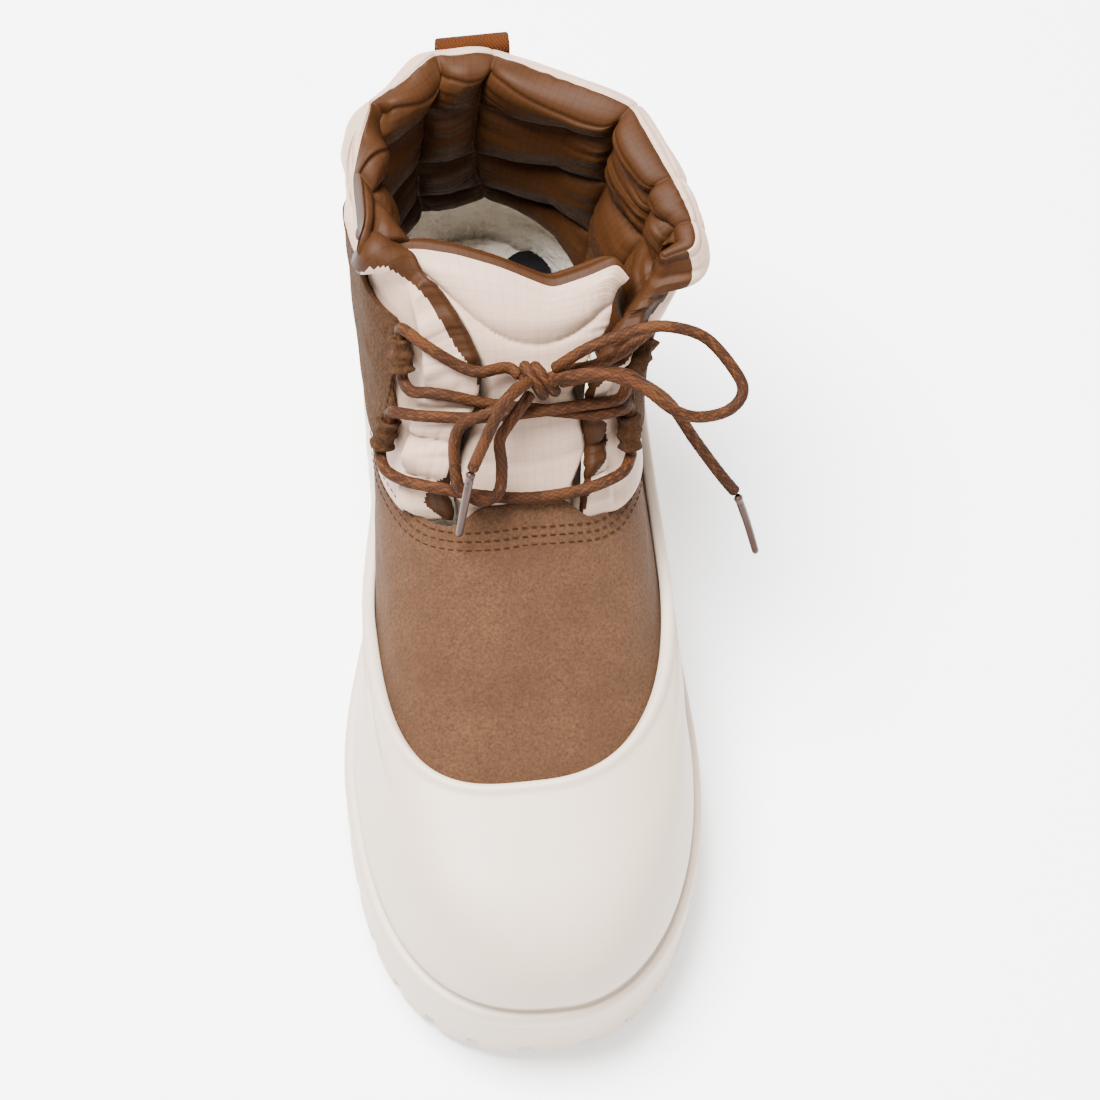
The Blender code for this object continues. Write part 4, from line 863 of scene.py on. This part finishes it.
wing_suede, wing_tree, wing_shader = finish_material(
    "brushed_wing_suede", .97, Sheen_Weight=.04, Sheen_Roughness=.6, Specular_IOR_Level=.05)
wing_shader.inputs["Sheen Tint"].default_value = (.80, .55, .36, 1)
grained(wing_tree, wing_shader, (.052, .0225, .0095), (.018, .0072, .0029), 90, 620, .6, .95, 1.0, .0014)
for name, side in (("wing_outer", 1), ("wing_inner", -1)):
    shares = np.linspace(0, 1, ROWS_UP)
    reach = np.linspace(0, 1, COLUMNS_BACK) ** 1.25
    low, high = wing_edges(.10)
    levels, turns = [], []
    for share in shares:
        front = float(wing_front(side, low + (high - low) * share)) + float(scallop(share))
        turn = front + (.4985 - front) * reach
        low_edge, high_edge = wing_edges(turn)
        turns.append(side * turn)
        levels.append(low_edge + (high_edge - low_edge) * share)
    levels, turns = np.array(levels), np.array(turns)
    bare = layer(turns, levels, 0)
    ripple = (lattice_noise(bare[..., 2] / .0075, bare[..., 1] / .030, 81 + side) * .0005
              + lattice_noise(bare[..., 2] / .0032, bare[..., 1] / .012, 83 + side) * .00022)
    fray = lattice_noise(np.arange(ROWS_UP) * .9, np.zeros(ROWS_UP), 85 + side) * .0004
    out = WING_LIFT + WING_WALL + ripple
    sheet = layer(turns, levels, out)
    back = layer(turns, levels, WING_LIFT + np.minimum(ripple, 0))
    across_unit = surface_frame(turns[:, :1], levels[:, :1])[0]
    pull = (fray[:, None] * np.clip(1 - np.arange(COLUMNS_BACK) / 6, 0, 1)[None, :])[..., None] * across_unit
    sheet, back = sheet + pull, back + pull
    rim = (sheet[-1] + back[-1]) / 2 + surface_frame(turns[-1], levels[-1])[1] * .0005
    hem = (sheet[0] + back[0]) / 2 - surface_frame(turns[0], levels[0])[1] * .0005
    edge_front = (sheet[:, 0] + back[:, 0]) / 2 - across_unit[:, 0] * .0006 * side
    skin = np.concatenate([sheet, rim[None], back[::-1], hem[None]])
    front_strip = np.concatenate([edge_front, edge_front[-1:], edge_front[::-1], edge_front[:1]])[:, None]
    skin = np.concatenate([front_strip, skin], axis=1)
    wing = grid_piece(name + "_suede", skin, wing_suede, wrap_columns=False, wrap_rows=True, flip=side < 0)
    for number, row in enumerate(row for row in TUNNELS if row[0] == side):
        tunnel = dict(zip(TUNNEL_COLUMNS, row))
        ends = tunnel_ends(tunnel)
        axis = unit(ends[1] - ends[0])
        outward = surface_frame(np.array(tunnel["top_turn"] * side), np.array(tunnel["top_level"]))[2]
        sideways = unit(np.cross(axis, outward))
        upward = np.cross(sideways, axis)
        angles = 2 * math.pi * np.arange(48) / 48
        bore = LACE_RADIUS + TUNNEL_CLEARANCE * .6
        shell = bore + TUNNEL_WALL
        profile = [(0, (bore + shell) / 2), (.006, shell - .0003)]
        profile += [(place, shell) for place in np.linspace(.03, .97, 26)]
        profile += [(.994, shell - .0003), (1, (bore + shell) / 2)]
        profile += [(place, bore) for place in np.linspace(.985, .015, 12)]
        rings = []
        for place, radius in profile:
            centre = ends[0] + (ends[1] - ends[0]) * place
            rough = lattice_noise(angles * 2.2, place * 9 + angles * 0, 87) * .00055 * (radius > bore)
            waist = .0004 * math.cos(4 * math.pi * place) * (radius > bore)
            rings.append(centre + (radius + rough[:, None] + waist) * (np.cos(angles)[:, None] * sideways
                                                                      + np.sin(angles)[:, None] * upward))
        tube = grid_piece(f"{name}_tunnel_{number}", np.array(rings), wing_suede, wrap_rows=True)
        tube.parent = wing
    line_levels = np.linspace(low + .12, high - .12, 60)
    line_turns = side * (wing_front(side, line_levels) + .014)
    line = layer(line_turns, line_levels, WING_LIFT + WING_WALL + .0002)
    wing_stitch_lines.append((line, surface_frame(line_turns, line_levels)[2]))
    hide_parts(name)
wing_stitches = sewn_rows("wing_stitches", wing_stitch_lines, thread, length=.0022, gap=.0012)


# Pull tab. The real one is a strap of heavy herringbone webbing folded double into a loop and sewn
# flat to the back of the shaft.
TAB_WIDTH, TAB_GAP, WEBBING_WALL = 0.025, 0.0046, 0.0016
webbing, webbing_tree, webbing_shader = finish_material("herringbone_webbing", .85, Specular_IOR_Level=.08)
use = grained(webbing_tree, webbing_shader, (.066, .0190, .0036), (.034, .009, .0018), 90, 1800, .4, .35)
strap_place = node(webbing_tree, "UVMap", uv_map="metres").outputs[0]
strap_split = node(webbing_tree, "SeparateXYZ", {0: strap_place})
zigzag = maths(webbing_tree, "PINGPONG", strap_split.outputs[0], .0030)
ribs = maths(webbing_tree, "SINE", maths(webbing_tree, "MULTIPLY",
                                         maths(webbing_tree, "ADD", zigzag, strap_split.outputs[1]), 5200.0))
rib_height = maths(webbing_tree, "ADD", maths(webbing_tree, "MULTIPLY", ribs, .7), use.outputs["Height"])
strap_bump = node(webbing_tree, "Bump", {"Strength": .7, "Distance": .0005, "Height": rib_height})
webbing_tree.links.new(strap_bump.outputs[0], webbing_shader.inputs["Normal"])
rib_tone = node(webbing_tree, "MapRange", {"Value": ribs, 1: -1.0, 2: .4, 3: .55, 4: 0.0}).outputs[0]
webbing_tree.links.new(blend_colours(webbing_tree, rib_tone, use.outputs["Colour"], (.026, .007, .0016, 1)),
                       webbing_shader.inputs["Base Color"])
tab_low, tab_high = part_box("pull_tab")
tab_middle = (tab_low + tab_high) / 2
half_outer, half_inner = TAB_GAP / 2 + WEBBING_WALL, TAB_GAP / 2
loop = []
for half, top, low in ((half_outer, tab_high.z, tab_low.z),
                       (half_inner, tab_high.z - WEBBING_WALL, tab_low.z + WEBBING_WALL)):
    right = [(tab_middle.y + half, z) for z in np.linspace(low + half, top - half, 30)]
    arc = [(tab_middle.y + half * math.cos(a), top - half + half * math.sin(a))
           for a in np.linspace(0, math.pi, 26)[1:-1]]
    left = [(tab_middle.y - half, z) for z in np.linspace(top - half, low + half, 30)]
    under = [(tab_middle.y + half * math.cos(a), low + half + half * math.sin(a))
             for a in np.linspace(math.pi, 2 * math.pi, 26)[1:-1]]
    loop.append(np.array(right + arc + left + under))
outside, inside = loop
strap_across = np.linspace(-.5, .5, 41)
bevel = np.sqrt(np.clip(1 - np.clip((np.abs(strap_across) - .46) / .04, 0, 1) ** 2, 0, 1)) * .5 + .5
centre_line = (outside + inside) / 2
strap = []
for skin, order in ((outside, 1), (inside, -1)):
    for share, round_off in zip(strap_across[::order], bevel[::order]):
        line = centre_line + (skin - centre_line) * round_off
        x = np.full(len(line), tab_middle.x + share * TAB_WIDTH)
        strap.append(np.stack([x, line[:, 0], line[:, 1]], -1))
tab = grid_piece("webbing_pull_tab", np.array(strap), webbing, wrap_rows=True, flip=True)
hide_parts("pull_tab")
# The box of stitches, with one line slanting across it
BOX_SIDE, z_low, z_high = .0095, tab_low.z + .006, tab_low.z + .016
corners = [(-BOX_SIDE, z_low), (BOX_SIDE, z_low), (BOX_SIDE, z_high), (-BOX_SIDE, z_high), (-BOX_SIDE, z_low),
           (BOX_SIDE, z_high)]
box_rows = []
for (x0, z0), (x1, z1) in zip(corners, corners[1:]):
    line = np.stack([np.linspace(x0, x1, 12) + tab_middle.x, np.full(12, tab_high.y + .0001),
                     np.linspace(z0, z1, 12)], -1)
    box_rows.append((line, np.tile((0.0, 1.0, 0.0), (12, 1))))
tab_stitches = sewn_rows("tab_stitches", box_rows, thread, length=.002, gap=.0009)


# Lace. The real one is a single round cord braided from sixteen orange-brown strands with darker
# flecks. It slides through the four tunnels, crosses over the tongue and is tied in a bow.
def braid_paint(tree, shader, colour, groove_shade_and_fleck, light, bump):
    """Thread colours from the braid's own strand values: painted shade in the grooves between strands, a
    painted highlight on their crowns, and darker flecks of the cord's own colour, with a fine grain over
    them.
    """
    use = grained(tree, shader, colour, groove_shade_and_fleck, 300, 5200, .25, .35, bump, .0002)
    painted_light_and_fleck = node(tree, "Attribute", attribute_name="strand").outputs["Fac"]
    tone = node(tree, "ValToRGB", {"Fac": painted_light_and_fleck})
    ramp = tone.color_ramp
    # The ramp's darkest end is painted groove shade and the real dark flecks, its lightest end a painted
    # highlight on the strand crowns
    ramp.elements[0].position, ramp.elements[0].color = 0.0, (*groove_shade_and_fleck, 1)
    ramp.elements[1].position, ramp.elements[1].color = 1.0, (*light, 1)
    middle_stop = ramp.elements.new(.52)
    middle_stop.color = (*colour, 1)
    tree.links.new(blend_colours(tree, .62, use.outputs["Colour"], tone.outputs[0]),
                   shader.inputs["Base Color"])


lace_cord, lace_tree, lace_shader = finish_material("braided_lace", .75, Specular_IOR_Level=.12)
# The darkest colour here is painted shade in the braid's grooves and the cord's flecks, the lightest a
# painted highlight on the strand crowns
braid_paint(lace_tree, lace_shader, (.029, .0090, .0022), (.004, .0012, .0004), (.075, .0245, .0058), .3)


def dense_path(points, spacing):
    """Evenly spaced points on a smooth curve through the route's own points."""
    points = np.array(points, float)
    padded = np.vstack([2 * points[0] - points[1], points, 2 * points[-1] - points[-2]])
    fine = []
    for index in range(len(points) - 1):
        fine.append(spline(*padded[index:index + 4], np.linspace(0, 1, 24, endpoint=False)[:, None]))
    fine = np.vstack(fine + [points[-1:]])
    length = arc_lengths(fine, 0)
    places = np.linspace(0, length[-1], max(3, round(length[-1] / spacing) + 1))
    return points_at(places, length, fine)


def carried_frames(path):
    """Two directions square to a path that are carried along it without twisting."""
    ahead = unit(np.gradient(path, axis=0))
    side = [unit(np.cross(ahead[0], (.3, .2, 1)))]
    for direction in ahead[1:]:
        side.append(unit(side[-1] - direction * np.dot(side[-1], direction)))
    side = np.array(side)
    return side, np.cross(ahead, side)


def braid(name, route, radius, cloth, spacing=.0004, sides=32):
    """A round braided cord: eight strands each way, each passing over and under the others."""
    path = dense_path(route, spacing)
    side, above = carried_frames(path)
    along = arc_lengths(path, 0)[:, None]
    turn = (np.arange(sides) / sides)[None, :]
    first, second = turn * 8 + along / .0034, turn * 8 - along / .0034
    over = (np.floor(first) + np.floor(second)) % 2
    weave = np.where(over > 0, np.abs(np.sin(math.pi * first)), np.abs(np.sin(math.pi * second)))
    cells = np.random.default_rng(97).uniform(0, 1, (64, 64))
    fleck = cells[np.floor(np.where(over > 0, first, second) % 8).astype(int),
                  np.floor(along / .011).astype(int) % 64]
    swell = radius * (.955 + .075 * weave)
    ends = np.minimum(along, along[-1] - along)
    swell = swell * np.sqrt(np.clip(1 - (1 - np.clip(ends / (radius * .6), 0, 1)) ** 2, .02, 1))
    angle = 2 * math.pi * turn
    points = path[:, None] + swell[..., None] * (np.cos(angle)[..., None] * side[:, None]
                                                 + np.sin(angle)[..., None] * above[:, None])
    body = grid_piece(name, points, cloth, flip=True)
    painted_light_and_fleck = body.data.attributes.new("strand", "FLOAT", "POINT")
    # Strand values hold painted light: high on each strand's crown and low in the grooves between strands,
    # plus random flecks that are the cord's own colour
    tone = np.clip(weave * .75 + (fleck - .5) * .75 + .12, 0, 1).astype(np.float32)
    painted_light_and_fleck.data.foreach_set("value", tone.ravel())
    return body, path


def along_tunnel(index, reverse=False):
    ends = tunnel_ends(dict(zip(TUNNEL_COLUMNS, TUNNELS[index])))
    ahead = unit(ends[1] - ends[0])
    points = [ends[0] - ahead * .003, ends[0] - ahead * .0006, (ends[0] + ends[1]) / 2,
              ends[1] + ahead * .0006, ends[1] + ahead * .003]
    return points[::-1] if reverse else points


def over_tongue(points):
    table = np.array(points)
    return list(layer(table[:, 0], table[:, 1], table[:, 2]))


BOTTOM_BAR = (
    (-.121, 6.58, .0100), (-.100, 6.60, .0098), (-.082, 6.65, .0095), (-.062, 6.67, .0084),
    (-.036, 6.64, .0058), (0, 6.58, .0046), (.032, 6.56, .0058), (.055, 6.57, .0086),
    (.080, 6.58, .0098))
CROSS_FALLING = (
    (-.086, 7.70, .0102), (-.066, 7.73, .0098), (-.045, 7.70, .0080), (-.022, 7.62, .0052),
    (.006, 7.52, .0040), (.034, 7.43, .0056), (.056, 7.37, .0090), (.076, 7.34, .0102))
CROSS_RISING = (
    (-.106, 7.38, .0102), (-.082, 7.45, .0100), (-.058, 7.49, .0092), (-.030, 7.50, .0080),
    (.006, 7.52, .0078), (.032, 7.52, .0084), (.054, 7.50, .0098), (.074, 7.47, .0102))
TOP_INNER = ((-.082, 8.47, .0112), (-.062, 8.27, .0108), (-.040, 8.07, .0092), (-.024, 7.99, .0090))
TOP_OUTER = ((.092, 8.17, .0114), (.074, 8.02, .0110), (.054, 7.93, .0100), (.040, 7.91, .0094))
KNOT_TURN, KNOT_LEVEL = .008, 7.86
KNOT_CENTRE = layer(KNOT_TURN, KNOT_LEVEL, .0100)
KNOT_SIZE = np.array((.0086, .0064, .0054))
KNOT_EXITS = {"top_inner": (-.75, .65, 0), "top_outer": (.75, .50, -.45),
              "loop_outer": (.55, .60, .60), "loop_outer_back": (.35, -.50, .80),
              "loop_front": (-.85, -.45, .25), "loop_front_back": (-.30, -.90, -.30),
              "end_outer": (.85, -.50, -.10), "end_front": (-.30, -.30, .90)}


def knot_exit(strand, reach, inset=0.0):
    """Points of a strand that leaves the knot square to its surface, the nearest one first."""
    ahead = unit(np.array(KNOT_EXITS[strand]))
    start = KNOT_CENTRE + KNOT_SIZE ** 2 * ahead / np.linalg.norm(KNOT_SIZE * ahead) + ahead * CLEARANCE * 2.5
    return [start - ahead * inset, start + ahead * reach]


run = knot_exit("top_inner", .003, .003) + over_tongue(TOP_INNER[::-1])
run += along_tunnel(0) + over_tongue(CROSS_FALLING)
run += along_tunnel(3) + over_tongue(BOTTOM_BAR[::-1])
run += along_tunnel(1, True) + over_tongue(CROSS_RISING)
run += along_tunnel(2, True) + over_tongue(TOP_OUTER) + knot_exit("top_outer", .003, .003)[::-1]
laced, _ = braid("laced_run", run, LACE_RADIUS, lace_cord)
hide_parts("lace_top_inner", "lace_top_outer", "lace_cross", "lace_bar_bottom")


# Bow. Two loops and two free ends leave the knot; the ends are sealed in tubes of clear brown
# plastic. The knot is the cord's own two wraps round itself.
LOOP_OUTER = (
    (.0266, .0306, .1570), (.0438, .0334, .1600), (.0538, .0330, .1600), (.0653, .0293, .1560),
    (.0742, .0187, .1490), (.0752, .0125, .1460), (.0695, .0078, .1440), (.0590, .0056, .1460),
    (.0506, .0074, .1500), (.0412, .0141, .1550), (.0291, .0186, .1582), (.0195, .0200, .1572))
LOOP_FRONT = (
    (-.0087, .0137, .1500), (-.0185, .0130, .1450), (-.0220, .0107, .1390), (-.0224, .0063, .1290),
    (-.0210, .0010, .1215), (-.0146, -.0030, .1190), (-.0086, -.0025, .1230), (-.0070, .0029, .1305),
    (-.0072, .0083, .1385), (-.0035, .0125, .1425))
END_OUTER = (
    (.0339, .0227, .1510), (.0421, .0201, .1470), (.0513, .0159, .1390), (.0592, .0077, .1270),
    (.0673, .0003, .1150), (.0729, -.0037, .1070))
END_FRONT = ((-.0042, .0135, .1578), (-.0090, .0090, .1520), (-.0131, .0049, .1440), (-.0175, .0009, .1335))
AGLET_OUTER = ((.0733, -.0043, .1062), (.0764, -.0098, .0960), (.0791, -.0167, .0860))
AGLET_FRONT = ((-.01775, .0006, .1330), (-.0204, -.0050, .1210), (-.0229, -.0104, .1090))

aglet_plastic, aglet_tree, aglet_shader = finish_material("clear_brown_plastic", .30, Coat_Weight=.1,
                                                          Coat_Roughness=.2, Specular_IOR_Level=.3)
use = grained(aglet_tree, aglet_shader, (.042, .017, .011), (.02, .008, .005), 220, 1500, .6, .2, .1, .0001)

across_knot, up_knot, out_knot = surface_frame(np.array(KNOT_TURN), np.array(KNOT_LEVEL))
wraps = []
for shift, lean, wide, deep in ((-.0016, -.0026, .0052, .0036), (.0022, -.0030, .0046, .0030)):
    ring = []
    for a in np.linspace(0, 2 * math.pi, 13)[:-1]:
        ring.append(KNOT_CENTRE + across_knot * (shift + lean * math.cos(a)) + up_knot * wide * math.cos(a)
                    + out_knot * deep * math.sin(a))
    ring = ring[9:] + ring[:9]
    wraps.append(ring + [ring[0] + (ring[1] - ring[0]) * .1])
knot, _ = braid("lace_bow_knot", wraps[0], LACE_RADIUS * .98, lace_cord)
second_wrap, _ = braid("lace_bow_wrap", wraps[1], LACE_RADIUS * .98, lace_cord)
CORE_PLACES = ((-.0066, .0012), (-.002, 0), (.002, 0), (.0066, .0006))
core_route = [KNOT_CENTRE + across_knot * x + up_knot * y for x, y in CORE_PLACES]
core, _ = braid("lace_bow_core", core_route, LACE_RADIUS, lace_cord)
for piece in (second_wrap, core):
    piece.parent = knot
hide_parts("lace_knot")
BOW = (("loop_outer", LOOP_OUTER, None), ("loop_front", LOOP_FRONT, None),
       ("end_outer", END_OUTER, AGLET_OUTER), ("end_front", END_FRONT, AGLET_FRONT))
for strand, middle_points, tip_points in BOW:
    route = knot_exit(strand, .001, .0025)[:1] + list(np.array(middle_points) + PLACED)
    if strand + "_back" in KNOT_EXITS:
        route += knot_exit(strand + "_back", .001, .0025)[:1]
    cord, path = braid("lace_" + strand + "_cord", route, LACE_RADIUS, lace_cord)
    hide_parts("lace_" + strand)
    if tip_points:
        tip_path = dense_path(np.array(tip_points) + PLACED, .0005)
        side, above = carried_frames(tip_path)
        share = np.linspace(0, 1, len(tip_path))[:, None]
        angles = (2 * math.pi * np.arange(24) / 24)[None, :]
        swell = .0020 * (.80 - .12 * share + .20 * smooth(1 - share * 12)) * np.clip(
            np.sqrt(np.clip((1 - share) * 22, .05, 1)) * np.sqrt(np.clip(share * 30, .25, 1)), 0, 1)
        crimp = 1 - .07 * np.exp(-((share - .12) / .03) ** 2) - .05 * np.exp(-((share - .2) / .02) ** 2)
        spokes = (np.cos(angles)[..., None] * side[:, None]
                  + np.sin(angles)[..., None] * above[:, None] * .88)
        rings = tip_path[:, None] + (swell * crimp)[..., None] * spokes
        tip = grid_piece("aglet_" + strand[4:] + "_sleeve", rings, aglet_plastic, flip=True)
        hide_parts("aglet_" + strand[4:])


# Studio. A plain pale floor, one broad soft light overhead, a weaker one in front and a pale sky,
# with the camera at the photograph's height and angle, turned so that the one boot is centred.
floor_paint, _, floor_shader = finish_material("pale_floor", .9, Specular_IOR_Level=.1)
floor_shader.inputs["Base Color"].default_value = (.97, .97, .972, 1)
floor_shader.inputs["Emission Color"].default_value = (1, 1, 1, 1)
floor_shader.inputs["Emission Strength"].default_value = .5
floor_mesh = bpy.data.meshes.new("floor")
floor_mesh.from_pydata([(-6, -6, 0), (6, -6, 0), (6, 6, 0), (-6, 6, 0)], [], [(0, 1, 2, 3)])
floor_mesh.materials.append(floor_paint)
floor = bpy.data.objects.new("floor", floor_mesh)
bpy.context.collection.objects.link(floor)
floor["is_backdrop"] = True

world = bpy.data.worlds.new("pale_sky")
bpy.context.scene.world = world
world.use_nodes = True
world.node_tree.nodes["Background"].inputs["Color"].default_value = (1, .99, .985, 1)
world.node_tree.nodes["Background"].inputs["Strength"].default_value = 1.25
for name, spot, size, power in (("overhead_light", (-.40, .25, 1.7), 1.0, 190),
                                ("front_light", (.7, -1.6, 1.1), 1.0, 18)):
    light = bpy.data.lights.new(name, "AREA")
    light.shape, light.size, light.energy = "DISK", size, power
    lamp = bpy.data.objects.new(name, light)
    bpy.context.collection.objects.link(lamp)
    lamp.location = spot
    lamp.rotation_euler = (Vector((0, 0, .05)) - Vector(spot)).to_track_quat("-Z", "Y").to_euler()

CAMERA_SPOT, CAMERA_LENS = (-.18697, -1.01478, 2.00248), 208.8
camera_data = bpy.data.cameras.new("camera")
camera_data.lens = CAMERA_LENS
camera_data.sensor_width = 36
camera_data.clip_end = 50
camera = bpy.data.objects.new("camera", camera_data)
bpy.context.collection.objects.link(camera)
CAMERA_AXES = ((.9905, -.13421, .02982), (.10436, .8752, .47238), (.0895, .46478, -.88089))
right, upward, forward = (Vector(axis) for axis in CAMERA_AXES)
turned = Matrix((right, upward, -forward)).transposed().to_4x4()
camera.matrix_world = Matrix.Translation(CAMERA_SPOT) @ turned
bpy.context.scene.camera = camera

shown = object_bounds()
{"cad": [list(corner) for corner in cad_box], "shown": [list(corner) for corner in shown]}
